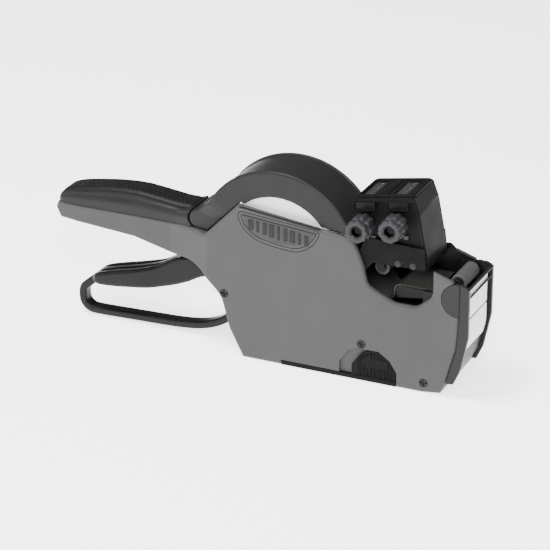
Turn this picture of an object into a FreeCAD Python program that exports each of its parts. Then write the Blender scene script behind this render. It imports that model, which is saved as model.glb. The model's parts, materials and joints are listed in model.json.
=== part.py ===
import FreeCAD, Part
import math
import os
import Sketcher

# Hand-held two-line price labeling gun, in millimetres.
# +X runs to the nose, the handle is at -X, -Y is the side with the selector knobs, +Z is up.
# The origin is the middle of the flat base that the gun stands on.
# Each driving size below becomes a cell of the sheet "Sizes"; every feature is bound to those cells.

DRIVING = {
    # housing as a whole
    "half_width": 17.5,        # centre plane to a shell's outer side
    "wall": 2.0,               # shell wall
    "gap": 0.3,                # between pieces that move past each other
    "run_gap": 0.05,           # radial clearance of a shaft in its hole
    "edge_round": 1.6,         # soft outer edge of the shells
    "base_rear": -52.5,
    "base_front": 46.0,
    "toe_x": 58.4,             # lower front corner, where the front door starts
    "toe_z": 6.8,
    "heel_x": -60.2,           # the body's back, below the trigger
    "heel_z": 15.0,
    "crotch_x": -64.8,         # where the trigger goes in
    "crotch_z": 32.0,
    "neck_x": -80.0,           # where the body turns into the handle
    "neck_z": 47.0,
    # handle
    "handle_reach": 163.5,     # origin to the handle's end
    "handle_half": 10.0,
    "taper_front": -72.0,      # full width ahead of here
    "taper_rear": -97.0,       # handle width behind here
    "grip_under_x": -118.0,
    "grip_under_z": 52.6,
    "tip_under_z": 56.4,
    "seam_z": 65.0,            # joint between the shells and the handle's top
    "handle_top_z": 73.6,
    "grip_thick": 3.4,
    "grip_half": 8.4,
    # roll space, cover and hinge
    "roll_x": -34.0,
    "roll_z": 60.0,
    "roll_radius": 31.0,
    "roll_half": 12.8,
    "core_radius": 12.6,
    "core_wall": 1.4,
    "hub_depth": 3.6,
    "cover_radius": 44.0,
    "cover_rim": 12.0,
    "cover_skin": 2.2,
    "cover_half": 15.0,
    "cover_foot_x": 6.8,
    "cover_hinge_x": -79.5,
    "cover_hinge_z": 70.2,
    "barrel_radius": 5.2,
    "deck_rear_x": -54.5,
    "deck_rear_z": 84.4,
    "deck_front_x": -8.8,
    "deck_front_z": 78.4,
    "print_gap_rear_x": 8.3,
    "print_gap_rear_z": 75.8,
    "pin_radius": 1.5,
    # print gap in the shells
    "print_gap_floor": 46.0,
    "print_gap_low_rear": 19.0,
    "print_gap_low_front": 48.2,
    "print_gap_front_x": 50.6,
    # nose
    "nose_top_z": 66.3,
    "nose_slope_x": 61.0,
    "nose_slope_z": 62.9,
    "door_pivot_x": 64.2,
    "door_pivot_z": 53.2,
    "ear_radius": 8.7,
    "nose_reach": 69.9,
    "door_knee_z": 33.0,
    "door_recess": 2.0,
    "door_lean": 0.4,          # the door's rear edge leans back this far below its pivot
    "door_stub": 2.5,
    # trigger
    "trigger_pivot_x": -62.6,
    "trigger_pivot_z": 34.1,
    "trigger_hub": 6.4,
    "trigger_half": 8.0,
    "trigger_core_half": 5.8,
    "loop_half": 3.5,
    "loop_thick": 4.4,
    "loop_rear_x": -155.2,
    "loop_low_z": 0.8,
    "arm_end_x": -141.0,
    "arm_end_z": 27.0,
    "arm_thick": 7.0,
    "trigger_pin_radius": 3.0,
    "spring_x": -93.0,
    "spring_low": 46.0,
    "spring_high": 68.0,
    # print head
    "head_pivot_x": -50.0,
    "head_pivot_z": 24.0,
    "head_pin_radius": 2.5,
    "head_half": 13.0,
    "head_wall": 1.6,
    "head_rear_x": 6.8,
    "head_top_rear_z": 97.5,
    "head_top_front_x": 38.0,
    "head_top_front_z": 102.7,
    "head_face_x": 46.6,
    "head_low_z": 65.2,
    "head_shelf_z": 77.5,
    "yoke_thick": 1.8,
    "rear_knob_x": 13.4,
    "rear_knob_z": 84.6,
    "front_knob_x": 30.7,
    "front_knob_z": 87.6,
    "knob_radius": 6.3,
    "knob_length": 11.8,
    "knob_socket": 3.3,
    "shaft_radius": 2.0,
    "detent_radius": 3.9,
    "detent_width": 1.5,
    "wheel_radius": 3.5,
    "wheel_width": 2.6,
    "wheel_pitch": 3.0,
    "rear_type_x": 31.0,
    "front_type_x": 39.0,
    "type_z": 66.2,
    "band_thick": 0.7,
    "anvil_radius": 1.7,
    "ink_radius": 3.8,
    "ink_x": 21.0,
    "ink_z": 60.6,
    "ink_pivot_x": 19.5,
    "ink_pivot_z": 73.5,
    # web path and nose frame
    "platen_rear": 30.5,
    "platen_front": 50.5,
    "platen_top": 54.2,
    "platen_thick": 5.0,
    "roller_x": 61.2,
    "roller_z": 59.6,
    "roller_radius": 4.0,
    "tyre_half": 9.5,
    "feed_x": -9.0,
    "feed_z": 21.6,
    "feed_radius": 8.2,
    "feed_half": 8.0,
    "feed_axle_radius": 2.0,
    "pinch_radius": 4.0,
    "web_gap": 0.9,
    "web_thick": 0.25,
    "web_half": 12.6,
    # base cover and latch
    "cover_floor": 0.3,
    "plate_thick": 2.3,
    "plate_rear": -34.8,
    "plate_front": 32.4,
    "base_hinge_x": -33.2,
    "base_pin_radius": 0.8,
    "ear_rear": 8.4,
    "ear_front": 32.4,
    "ear_height": 17.5,
    "ear_thick": 1.2,
    "latch_travel": 6.5,
    # screws
    "screw_radius": 1.5,
    "screw_head": 2.4,
    "boss_radius": 3.6,
    "mid_screw_x": 13.5,
    "mid_screw_z": 20.3,
    "toe_screw_x": 47.2,
    "toe_screw_z": 5.6,
}


class Size:
    """A length worked out from the sheet: its number, and the same sum as text for the sheet."""

    def __init__(self, number, text):
        self.number = float(number)
        self.text = text

    @staticmethod
    def of(value):
        return value if isinstance(value, Size) else Size(value, f"({value})")

    @staticmethod
    def join(first, second, sign, number):
        return Size(number, f"({first.text} {sign} {second.text})")

    def __add__(self, other):
        other = Size.of(other)
        return Size.join(self, other, "+", self.number + other.number)

    def __sub__(self, other):
        other = Size.of(other)
        return Size.join(self, other, "-", self.number - other.number)

    def __mul__(self, other):
        other = Size.of(other)
        return Size.join(self, other, "*", self.number * other.number)

    def __truediv__(self, other):
        other = Size.of(other)
        return Size.join(self, other, "/", self.number / other.number)

    def __radd__(self, other):
        return Size.of(other) + self

    def __rsub__(self, other):
        return Size.of(other) - self

    def __rmul__(self, other):
        return Size.of(other) * self

    def __neg__(self):
        return Size(-self.number, f"(0 - {self.text})")


class Sizes:
    """The driving sizes by name, each tied to its cell's alias."""

    def __init__(self, sheet, values):
        for row, (alias, value) in enumerate(values.items(), start=1):
            sheet.set(f"A{row}", alias)
            sheet.set(f"B{row}", str(value))
            sheet.setAlias(f"B{row}", alias)
            setattr(self, alias, Size(value, f"Sizes.{alias}"))


doc = FreeCAD.newDocument("price_labeling_gun")
sheet = doc.addObject("Spreadsheet::Sheet", "Sizes")
d = Sizes(sheet, DRIVING)
doc.recompute()

NODES = []                     # finished sub-parts, one STEP file each
RIGHT, LEFT = -1, 1            # side of the centre plane, as the sign of Y


# ---- drawing helpers -------------------------------------------------------

def new_body(label):
    """Start a PartDesign body that will be exported under its label."""
    body = doc.addObject("PartDesign::Body", label)
    body.Label = label
    NODES.append(body)
    return body


def origin_plane(body, role):
    return [item for item in body.Origin.OriginFeatures if item.Role == role][0]


def new_sketch(body, name, role, offset):
    """A sketch on one of the body's own origin planes, moved along the plane's normal by offset."""
    sketch = body.newObject("Sketcher::SketchObject", name)
    sketch.AttachmentSupport = [(origin_plane(body, role), "")]
    sketch.MapMode = "FlatFace"
    sketch.setExpression(".AttachmentOffset.Base.z", Size.of(offset).text)
    return sketch


def bind(sketch, kind, size, *where):
    """Add a dimension to the sketch and tie it to the sheet."""
    index = sketch.addConstraint(Sketcher.Constraint(kind, *where, size.number))
    sketch.setExpression(f"Constraints[{index}]", size.text)


def draw_polygon(sketch, points):
    """Closed outline of straight lines; each corner is dimensioned from the origin."""
    points = [(Size.of(across), Size.of(up)) for across, up in points]
    first = sketch.GeometryCount
    count = len(points)
    for start, end in zip(points, points[1:] + points[:1]):
        low = FreeCAD.Vector(start[0].number, start[1].number, 0)
        high = FreeCAD.Vector(end[0].number, end[1].number, 0)
        sketch.addGeometry(Part.LineSegment(low, high))
    for step in range(count):
        follower = first + (step + 1) % count
        sketch.addConstraint(Sketcher.Constraint("Coincident", first + step, 2, follower, 1))
    for step, (across, up) in enumerate(points):
        bind(sketch, "DistanceX", across, -1, 1, first + step, 1)
        bind(sketch, "DistanceY", up, -1, 1, first + step, 1)


def draw_circle(sketch, across, up, radius):
    across, up, radius = Size.of(across), Size.of(up), Size.of(radius)
    centre = FreeCAD.Vector(across.number, up.number, 0)
    index = sketch.addGeometry(Part.Circle(centre, FreeCAD.Vector(0, 0, 1), radius.number))
    bind(sketch, "DistanceX", across, -1, 1, index, 3)
    bind(sketch, "DistanceY", up, -1, 1, index, 3)
    bind(sketch, "Radius", radius, index)


def draw_loops(sketch, loops):
    """A loop is a list of corners, or a (across, up, radius) circle."""
    for loop in loops:
        if isinstance(loop, tuple):
            draw_circle(sketch, *loop)
        else:
            draw_polygon(sketch, loop)


def solid_volume(body):
    return body.Shape.Volume if body.Tip else 0.0


def crosswise(body, name, loops, y_from, y_to, cut=False):
    """Pad or pocket side-view outlines from y_from to y_to; y_to is the larger."""
    y_from, y_to = Size.of(y_from), Size.of(y_to)
    before = solid_volume(body)
    sketch = new_sketch(body, f"{name}_outline", "XZ_Plane", -y_from)
    draw_loops(sketch, loops)
    kind = "PartDesign::Pocket" if cut else "PartDesign::Pad"
    feature = body.newObject(kind, name)
    feature.Profile = sketch
    # the side view's normal is -Y: a pad turns round to grow to +Y, a pocket already cuts to +Y
    feature.Reversed = not cut
    feature.setExpression("Length", (y_to - y_from).text)
    body.Tip = feature
    doc.recompute()
    if abs(solid_volume(body) - before) < 1e-6:
        raise ValueError(f"{name} changes nothing")
    return feature


def both_sides(body, name, loops, y_near, y_far, cut=False):
    """The same outline on the left and, mirrored, on the right."""
    crosswise(body, f"{name}_left", loops, y_near, y_far, cut)
    return crosswise(body, f"{name}_right", loops, -Size.of(y_far), -Size.of(y_near), cut)


def plan_cut(body, name, loops):
    """Cut plan-view outlines right through the body along Z."""
    before = solid_volume(body)
    sketch = new_sketch(body, f"{name}_outline", "XY_Plane", 0)
    draw_loops(sketch, loops)
    feature = body.newObject("PartDesign::Pocket", name)
    feature.Profile = sketch
    feature.Type = "ThroughAll"
    feature.SideType = "Symmetric"
    body.Tip = feature
    doc.recompute()
    if abs(solid_volume(body) - before) < 1e-6:
        raise ValueError(f"{name} cuts nothing")
    return feature


def round_corners(body, name, corners, radius):
    """Round the crosswise edges that stand at the given side-view corners."""
    spots = [(Size.of(across).number, Size.of(up).number) for across, up in corners]

    def at_spot(edge):
        ends = [vertex.Point for vertex in edge.Vertexes]
        if len(ends) != 2 or abs(ends[0].y - ends[1].y) < 0.2:
            return False
        return any(all(math.hypot(end.x - x, end.z - z) < 0.02 for end in ends) for x, z in spots)

    return round_edges(body, name, at_spot, radius)


def round_edges(body, name, wanted, radius, kind="PartDesign::Fillet"):
    """Fillet or chamfer every edge for which wanted(edge) is true."""
    base = body.Tip
    shape = base.Shape
    names = [f"Edge{step}" for step, edge in enumerate(shape.Edges, start=1) if wanted(edge)]
    feature = body.newObject(kind, name)
    feature.Base = (base, names)
    sized = "Radius" if kind.endswith("Fillet") else "Size"
    feature.setExpression(sized, Size.of(radius).text)
    body.Tip = feature
    doc.recompute()
    return feature


def rod(label, across, up, radius, y_from, y_to):
    """A plain round pin along Y, as a Part cylinder of its own node."""
    pin = doc.addObject("Part::Cylinder", label)
    pin.Label = label
    across, up, y_from, y_to = (Size.of(value) for value in (across, up, y_from, y_to))
    pin.Placement.Rotation = FreeCAD.Rotation(FreeCAD.Vector(1, 0, 0), -90)
    pin.setExpression("Radius", Size.of(radius).text)
    pin.setExpression("Height", (y_to - y_from).text)
    pin.setExpression(".Placement.Base.x", across.text)
    pin.setExpression(".Placement.Base.y", y_from.text)
    pin.setExpression(".Placement.Base.z", up.text)
    NODES.append(pin)
    return pin


def tube(label, across, up, radius, bore, half):
    """A roller: a ring about Y, centred on the middle plane."""
    body = new_body(label)
    crosswise(body, "ring", [(across, up, radius), (across, up, bore)], -Size.of(half), half)
    return body


# ---- shared outlines, side view as (x, z) ---------------------------------

handle_tip = -d.handle_reach
inner_half = d.half_width - d.wall
pinch_z = d.feed_z - d.feed_radius - d.web_gap - d.pinch_radius


def shell_outline():
    """Outside of a shell, anticlockwise from the base's rear corner."""
    return [
        (d.base_rear, 0), (d.base_front, 0), (d.toe_x - 2.6, 1.2), (d.toe_x, d.toe_z),
        (d.door_pivot_x - d.door_lean, d.toe_z + 20), (d.door_pivot_x + 0.5, d.door_pivot_z - 12),
        (d.door_pivot_x + 0.7, d.door_pivot_z), (d.nose_slope_x, d.nose_slope_z),
        (d.print_gap_front_x, d.nose_top_z),
        (d.print_gap_front_x, d.print_gap_floor + 7), (d.print_gap_low_front - 6, d.print_gap_floor),
        (d.print_gap_low_rear + 12, d.print_gap_floor), (d.print_gap_low_rear - 3, d.print_gap_floor + 7),
        (d.print_gap_rear_x + 5.4, d.nose_slope_z), (d.print_gap_rear_x, d.print_gap_rear_z),
        (d.deck_front_x, d.deck_front_z), (d.deck_rear_x, d.deck_rear_z),
        (d.cover_hinge_x + 5, d.seam_z - 1.2), (d.cover_hinge_x - 0.5, d.seam_z),
        (handle_tip + 1.2, d.seam_z), (handle_tip, d.seam_z - 3), (handle_tip + 2.5, d.tip_under_z),
        (handle_tip + 12, d.tip_under_z - 1.2),
        (d.grip_under_x, d.grip_under_z), (d.taper_rear, d.neck_z + 0.4), (d.neck_x, d.neck_z),
        (d.crotch_x, d.crotch_z), (d.heel_x, d.heel_z),
    ]


def body_space():
    """Hollow of the body; it runs out past the shell where the body is open."""
    above = d.deck_rear_z + 20
    ahead = d.nose_reach + 5
    return [
        (d.base_rear + d.wall, d.wall), (d.base_front, d.wall), (d.toe_x - 4.4, 3.0),
        (d.toe_x - 1.8, d.toe_z + 1.4), (ahead, d.toe_z + 1.4), (ahead, above),
        (d.taper_front, above), (d.taper_front, d.neck_z - 1),
        (d.crotch_x + d.wall, d.crotch_z + 1), (d.heel_x + d.wall, d.heel_z),
    ]


def handle_space():
    """Hollow of the handle, open at the seam under the handle's top."""
    return [
        (d.taper_front + 4, d.neck_z + d.wall), (d.taper_front + 4, d.seam_z + 20),
        (handle_tip + 3.2, d.seam_z + 20), (handle_tip + 3.2, d.tip_under_z + d.wall + 1.4),
        (d.grip_under_x, d.grip_under_z + d.wall), (d.taper_rear, d.neck_z + 0.4 + d.wall),
    ]


def trigger_slot():
    """Way in for the trigger through the body's back and the handle's underside."""
    return [
        (d.base_rear - 1, d.wall + 0.6), (d.heel_x - 12, d.wall + 0.6), (d.heel_x - 12, d.crotch_z - 3),
        (d.taper_rear - 12, d.neck_z - 6), (d.taper_rear - 9, d.neck_z + 5.6),
        (d.neck_x + 4, d.neck_z + 8), (d.crotch_x + 6, d.crotch_z + 12),
    ]


def latch_window(grown):
    """Rounded-top outline of the latch ear, widened rearwards by its travel where it is a recess."""
    shift = d.latch_travel * grown
    rear = d.ear_rear - shift - d.gap * grown
    front = d.ear_front + d.gap * grown
    top = d.ear_height + d.gap * grown
    return [
        (rear, -1 * grown + d.cover_floor + (1 - grown) * (d.plate_thick + d.gap)),
        (rear, top - 9), (rear + 5, top - 2), (rear + 10, top),
        (front - 10, top), (front - 4, top - 4), (front, top - 10),
        (front, -1 * grown + d.cover_floor + (1 - grown) * (d.plate_thick + d.gap)),
    ]


# ---- housing ---------------------------------------------------------------

SCREWS = [(d.mid_screw_x, d.mid_screw_z), (d.toe_screw_x, d.toe_screw_z)]


def make_shell(label, side):
    """Half of the housing: a cup with its open side on the centre plane."""
    body = new_body(label)

    def span(near, far):
        near, far = Size.of(near), Size.of(far)
        return (near, far) if side == LEFT else (-far, -near)

    outline = shell_outline()
    crosswise(body, "side", [outline], *span(0, d.half_width))
    plan_cut(body, "handle_taper", [[
        (handle_tip - 5, d.handle_half * side), (d.taper_rear, d.handle_half * side),
        (d.taper_front, d.half_width * side), (d.taper_front, (d.half_width + 5) * side),
        (handle_tip - 5, (d.half_width + 5) * side),
    ]])
    round_corners(body, "cheek_corners", [outline[3], outline[4]], 3.0)
    round_corners(body, "print_gap_bottom", outline[10:12], 6.0)
    round_corners(body, "print_gap_bends", [outline[9], outline[12]], 6.0)
    round_corners(body, "tip_corners", [outline[20], outline[21]], 1.6)
    round_corners(body, "crotch_curves", [outline[26]], 14.0)
    round_corners(body, "underside_curves", [outline[24], outline[25]], 16.0)
    round_corners(body, "heel_curve", [outline[27]], 9.0)
    seams = (d.taper_front.number, d.taper_rear.number)

    def on_outer_rim(edge):
        ends = [vertex.Point for vertex in edge.Vertexes]
        across_seam = any(all(abs(end.x - x) < 1e-3 for end in ends) for x in seams)
        outside = all(end.y * side > d.handle_half.number - 1e-3 for end in ends)
        return outside and not across_seam and abs(ends[0].z - ends[-1].z) + abs(ends[0].x - ends[-1].x) > 1e-3

    round_edges(body, "soft_rim", on_outer_rim, d.edge_round)
    crosswise(body, "body_hollow", [body_space()], *span(-0.5, inner_half), cut=True)
    crosswise(body, "handle_hollow", [handle_space()], *span(-0.5, d.handle_half - d.wall), cut=True)
    slot_half = d.trigger_core_half + 0.8
    crosswise(body, "trigger_way", [trigger_slot()], *span(-0.5, slot_half), cut=True)
    crosswise(body, "ear_notch", [(d.door_pivot_x, d.door_pivot_z, d.ear_radius + d.gap)],
              *span(inner_half - 1, d.half_width + 1), cut=True)
    # lower edge: room for the base cover's plate and for the latch's cross plate
    plate_room = d.cover_floor + d.plate_thick + d.gap
    hinge_front = d.base_hinge_x + 2.4
    crosswise(body, "plate_room", [[
        (hinge_front, -1), (d.plate_front + d.gap, -1), (d.plate_front + d.gap, plate_room),
        (hinge_front, plate_room)]], *span(-0.5, d.half_width + 1), cut=True)
    crosswise(body, "hinge_room", [[
        (d.plate_rear - 0.8, -1), (hinge_front + 1, -1), (hinge_front + 1, d.wall + 1),
        (d.plate_rear - 0.8, d.wall + 1)]], *span(-0.5, inner_half), cut=True)
    crosswise(body, "latch_room", [[
        (d.ear_rear + d.gap, -1), (d.plate_front + d.gap, -1),
        (d.plate_front + d.gap, plate_room + 3.6), (d.ear_rear + d.gap, plate_room + 3.6)]],
        *span(-0.5, d.half_width + 1), cut=True)
    crosswise(body, "latch_recess", [latch_window(1)],
              *span(d.half_width - d.ear_thick - 0.2, d.half_width + 1), cut=True)
    # bosses that the screws go through, and the bores of the pins that cross the body
    crosswise(body, "bosses", [(x, z, d.boss_radius) for x, z in SCREWS], *span(d.gap / 3, inner_half + 0.5))
    crosswise(body, "screw_bores", [(x, z, d.screw_radius + d.run_gap) for x, z in SCREWS],
              *span(-0.5, d.half_width + 1 if side == RIGHT else inner_half + 0.6), cut=True)
    if side == RIGHT:
        heads = [(x, z, d.screw_head + d.run_gap) for x, z in SCREWS]
        crosswise(body, "head_seats", heads, *span(inner_half + 0.4, d.half_width + 1), cut=True)
        crosswise(body, "pivot_seat", [(d.trigger_pivot_x, d.trigger_pivot_z, d.screw_head + d.run_gap)],
                  *span(inner_half + 0.4, d.half_width + 1), cut=True)
        crosswise(body, "badge_seat", [badge_outline(d.gap / 2)],
                  *span(d.half_width - 1.0, d.half_width + 1), cut=True)
        round_corners(body, "badge_seat_curve", badge_outline(d.gap / 2)[1:7], 4.0)
    pin_bores = [(d.head_pivot_x, d.head_pivot_z, d.head_pin_radius + d.run_gap),
                 (d.feed_x, d.feed_z, d.feed_axle_radius + d.run_gap),
                 (d.base_hinge_x, d.cover_floor + d.plate_thick / 2, d.base_pin_radius + d.run_gap)]
    crosswise(body, "pin_bores", pin_bores, *span(inner_half - 0.5, d.half_width - 0.6), cut=True)
    pivot = (d.trigger_pivot_x, d.trigger_pivot_z)
    crosswise(body, "pivot_bore", [(*pivot, d.trigger_pin_radius + d.run_gap)],
              *span(-0.5, inner_half), cut=True)
    crosswise(body, "pivot_end_bore", [(*pivot, d.screw_radius + d.run_gap)],
              *span(inner_half - 0.5, d.half_width - 0.5), cut=True)
    return body


def badge_outline(grown):
    """Half-round maker's plate under the roll cover; grown widens it where it is the seat."""
    left, right = d.deck_rear_x + 2.0 - grown, d.deck_front_x - 1.0 + grown
    low = d.deck_rear_z - 17.0 - grown
    return [
        (left + 0.2, d.deck_rear_z - 4.4 + grown), (left + 2.4, low + 5.6), (left + 8, low + 1.6),
        (left + 16, low), (right - 14, low), (right - 5.5, low + 3.4),
        (right - 1.2, low + 8), (right, d.deck_front_z - 2.0 + grown),
    ]


def make_badge():
    """Thin plate let into the right shell, with a blank face."""
    body = new_body("badge_plate")
    crosswise(body, "plate", [badge_outline(0)], -d.half_width + 0.1, -d.half_width + 0.9)
    round_corners(body, "curve", badge_outline(0)[1:7], 4.0)


def make_handle_top():
    """Upper half of the handle, with the socket and ears of the roll cover's hinge."""
    body = new_body("handle_top")
    low = d.seam_z + 0.1
    top = d.handle_top_z
    front = d.cover_hinge_x - 1.2
    run = front - handle_tip
    outline = [
        (handle_tip + 1.2, low), (front, low), (front - 3.9, top + 2.2), (front - 8, top + 0.4),
        (front - 14, top - 0.9), (front - run * 0.41, top + 0.8), (front - run * 0.58, top + 0.2),
        (front - run * 0.82, top - 2.8), (handle_tip + 5, top - 4.6), (handle_tip + 1.6, low + 2.8),
    ]
    crosswise(body, "cap", [outline], -12.0, 12.0)
    edge = [(handle_tip - 5, d.handle_half), (d.taper_rear, d.handle_half), (front, d.handle_half + 2)]
    for side in (LEFT, RIGHT):
        plan_cut(body, f"taper_{'left' if side == LEFT else 'right'}", [[
            *[(x, y * side) for x, y in edge], (front, 16 * side), (handle_tip - 5, 16 * side)]])
    round_corners(body, "top_curves", [outline[3], outline[4], outline[6], outline[7]], 12.0)
    round_corners(body, "tip_curve", [outline[8], outline[9]], 2.0)
    crosswise(body, "hollow", [[
        (handle_tip + 4, low - 1), (front - 5.4, low - 1), (front - 5.4, low + 3), (front - 14, top - 3.4),
        (front - run * 0.41, top - 1.6), (front - run * 0.72, top - 3.6), (handle_tip + 7, top - 7.4),
        (handle_tip + 4, low + 1.6)]], -d.handle_half + d.wall, d.handle_half - d.wall, cut=True)
    crosswise(body, "socket", [(d.cover_hinge_x, d.cover_hinge_z, d.barrel_radius + d.gap)],
              -20, 20, cut=True)
    ear_in = d.handle_half - 0.3
    ear_arm = [(d.cover_hinge_x - 6.8, d.cover_hinge_z - 2.4), (d.cover_hinge_x, d.cover_hinge_z - 2.4),
               (d.cover_hinge_x, d.cover_hinge_z + 2.4), (d.cover_hinge_x - 6.8, d.cover_hinge_z + 2.4)]
    both_sides(body, "ear_arm", [ear_arm], ear_in, 11.6)
    both_sides(body, "ear_eye", [(d.cover_hinge_x, d.cover_hinge_z, 3.2)], ear_in, 11.6)
    both_sides(body, "ear_bore", [(d.cover_hinge_x, d.cover_hinge_z, d.pin_radius + d.run_gap)],
               ear_in - 1, 13.0, cut=True)


def make_grip_pad():
    """Crowned soft pad along the top of the handle."""
    body = new_body("grip_pad")
    top = d.handle_top_z
    front = d.cover_hinge_x - 1.2
    run = front - handle_tip
    rise = d.grip_thick
    low_line = [(front - 9.5, top + 0.2), (front - 14, top - 0.6), (front - run * 0.41, top + 1.0),
                (front - run * 0.58, top + 0.4), (front - run * 0.82, top - 2.6), (handle_tip + 5, top - 4.2)]
    high_line = [(handle_tip + 4.4, top - 3.2), (front - run * 0.82, top - 2.6 + rise),
                 (front - run * 0.58, top + 0.4 + rise), (front - run * 0.41, top + 1.0 + rise),
                 (front - 14, top - 0.6 + rise), (front - 9.2, top + 0.9)]
    crosswise(body, "pad", [low_line + high_line], -d.grip_half, d.grip_half)
    round_corners(body, "crown", high_line[1:5], 10.0)


# ---- roll, its cover and hubs ----------------------------------------------

def make_roll_cover():
    """Arched cover: a skin over the roll, with a rim down each side, hinged at its rear end."""
    body = new_body("roll_cover")
    centre = (d.roll_x, d.roll_z)
    half = d.cover_half
    crosswise(body, "disc", [(*centre, d.cover_radius)], -half, half)
    crosswise(body, "rear_fairing", [[
        (d.cover_hinge_x - 0.6, d.cover_hinge_z + 4.9), (d.cover_hinge_x + 7, d.cover_hinge_z + 11.2),
        (d.cover_hinge_x + 20, d.cover_hinge_z + 16), (d.cover_hinge_x + 16, d.cover_hinge_z - 5.6),
        (d.cover_hinge_x + 6, d.cover_hinge_z - 6.2), (d.cover_hinge_x + 1, d.cover_hinge_z - 4.8)]],
        -half, half)
    crosswise(body, "barrel", [(d.cover_hinge_x, d.cover_hinge_z, d.barrel_radius)], -half, half)
    rim_inner = d.cover_radius - d.cover_rim
    lift, below = 0.4, 0       # stand-off above the deck line, and the bottom of what is cut away
    # away with everything below the deck line and the sloping shoulder
    crosswise(body, "foot_line", [[
        (d.cover_foot_x + 20, d.print_gap_rear_z + lift - 2.0), (d.deck_front_x, d.deck_front_z + lift),
        (d.deck_rear_x, d.deck_rear_z + lift), (d.cover_hinge_x + 5.3, d.seam_z + lift),
        (d.cover_hinge_x - 8, d.seam_z + lift),
        (d.cover_hinge_x - 8, below), (d.cover_foot_x + 20, below)]], -20, 20, cut=True)
    crosswise(body, "window", [(*centre, rim_inner)], -20, 20, cut=True)
    crosswise(body, "roll_way", [(*centre, d.cover_radius - d.cover_skin)],
              -d.roll_half - 0.5, d.roll_half + 0.5, cut=True)
    # narrower towards the hinge, where the cover meets the handle
    for side in (LEFT, RIGHT):
        name = "left" if side == LEFT else "right"
        plan_cut(body, f"rear_taper_{name}", [[
            (d.cover_hinge_x - 12, (d.handle_half - 0.6) * side),
            (d.cover_hinge_x + d.barrel_radius, (d.handle_half - 0.6) * side),
            (d.cover_hinge_x + 11, half * side), (d.cover_hinge_x + 11, 22 * side),
            (d.cover_hinge_x - 12, 22 * side)]])
    crosswise(body, "pin_bore", [(d.cover_hinge_x, d.cover_hinge_z, d.pin_radius + d.run_gap)],
              -20, 20, cut=True)


def make_roll():
    """Roll of labels on its card core, held between two short hubs."""
    tube("label_roll", d.roll_x, d.roll_z, d.roll_radius, d.core_radius, d.roll_half)
    tube("roll_core", d.roll_x, d.roll_z, d.core_radius, d.core_radius - d.core_wall, d.roll_half)
    hub_radius = d.core_radius - d.core_wall - d.run_gap
    flange_from, flange_to = d.roll_half + d.gap, d.roll_half + d.gap + 1.2
    plug_from = d.roll_half - d.hub_depth
    for label, side in (("roll_hub_right", RIGHT), ("roll_hub_left", LEFT)):
        hub = new_body(label)

        def disc(name, radius, near, far, cut=False):
            span = (near, far) if side == LEFT else (-far, -near)
            crosswise(hub, name, [(d.roll_x, d.roll_z, radius)], *span, cut)

        disc("flange", hub_radius + 2.2, flange_from, flange_to)
        disc("plug", hub_radius, plug_from, flange_from)
        disc("hollow", hub_radius - 2.0, plug_from - 1, d.roll_half + 0.1, cut=True)


# ---- trigger ---------------------------------------------------------------

def make_trigger():
    """Squeeze lever: a pivot hub, a sloping finger bar and a slim closed loop under it."""
    body = new_body("trigger")
    px, pz = d.trigger_pivot_x, d.trigger_pivot_z
    rear, low, thick = d.loop_rear_x, d.loop_low_z, d.loop_thick
    end_x, end_z = d.arm_end_x, d.arm_end_z
    heel = d.heel_x + 3.0
    loop_outside = [
        (end_x + 2, end_z - 1.0), (end_x - 3.5, end_z - 3.6), (rear + 3.4, low + 16), (rear, low + 8),
        (rear + 3.2, low + 1.2), (rear + 10, low), (px - 32, low + 1.4), (px - 12, low + 6.6),
        (heel - 4.5, low + 11), (heel, low + 17), (px + 3.4, pz - 4), (px - 2, pz - 1),
        (px - 6, pz - 10), (heel - 5.6, low + 15.6), (px - 14, low + 6.6 + thick),
        (px - 33, low + 1.4 + thick), (rear + 11, low + thick), (rear + thick + 1.4, low + thick + 1.4),
        (rear + thick + 0.2, low + 8.4), (rear + thick + 3.2, low + 14.2), (end_x + 2, end_z - 7.6)]
    crosswise(body, "loop", [loop_outside], -d.loop_half, d.loop_half)
    loop_bends = [loop_outside[step] for step in (2, 3, 4, 14, 15, 17, 18)]
    round_corners(body, "loop_bends", loop_bends, 1.8)
    wide_end = px - 43
    bar = [
        (end_x, end_z), (end_x - 4.2, end_z - 2.6), (end_x - 4.6, end_z - 6.6), (end_x, end_z - d.arm_thick),
        (end_x + 20, end_z - d.arm_thick + 1.9), (wide_end, pz - 9.6), (wide_end, pz + 3.2),
        (end_x + 18, end_z + 4.6)]
    crosswise(body, "finger_bar", [bar], -d.trigger_half, d.trigger_half)
    neck = [
        (wide_end - 1, pz - 9.8), (px - 27, pz - 3.8), (px - 17, pz + 1.4), (px - 6, pz - 2.4),
        (px + 2, pz - 5), (px + 2, pz + 5), (px - 8, pz + 6), (px - 20, pz + 11.2), (px - 31, pz + 10.2),
        (wide_end - 1, pz + 3.0)]
    crosswise(body, "neck", [neck], -d.trigger_core_half, d.trigger_core_half)
    tongue = [(px + 2, pz - 5.6), (px + 7.8, pz - 7.4), (px + 8.6, pz - 4.6), (px + 5, pz + 1)]
    crosswise(body, "tongue", [tongue], -4, 4)
    crosswise(body, "hub", [(px, pz, d.trigger_hub)], -d.trigger_core_half, d.trigger_core_half)
    crosswise(body, "hub_bore", [(px, pz, d.trigger_pin_radius + d.run_gap)], -20, 20, cut=True)


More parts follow.
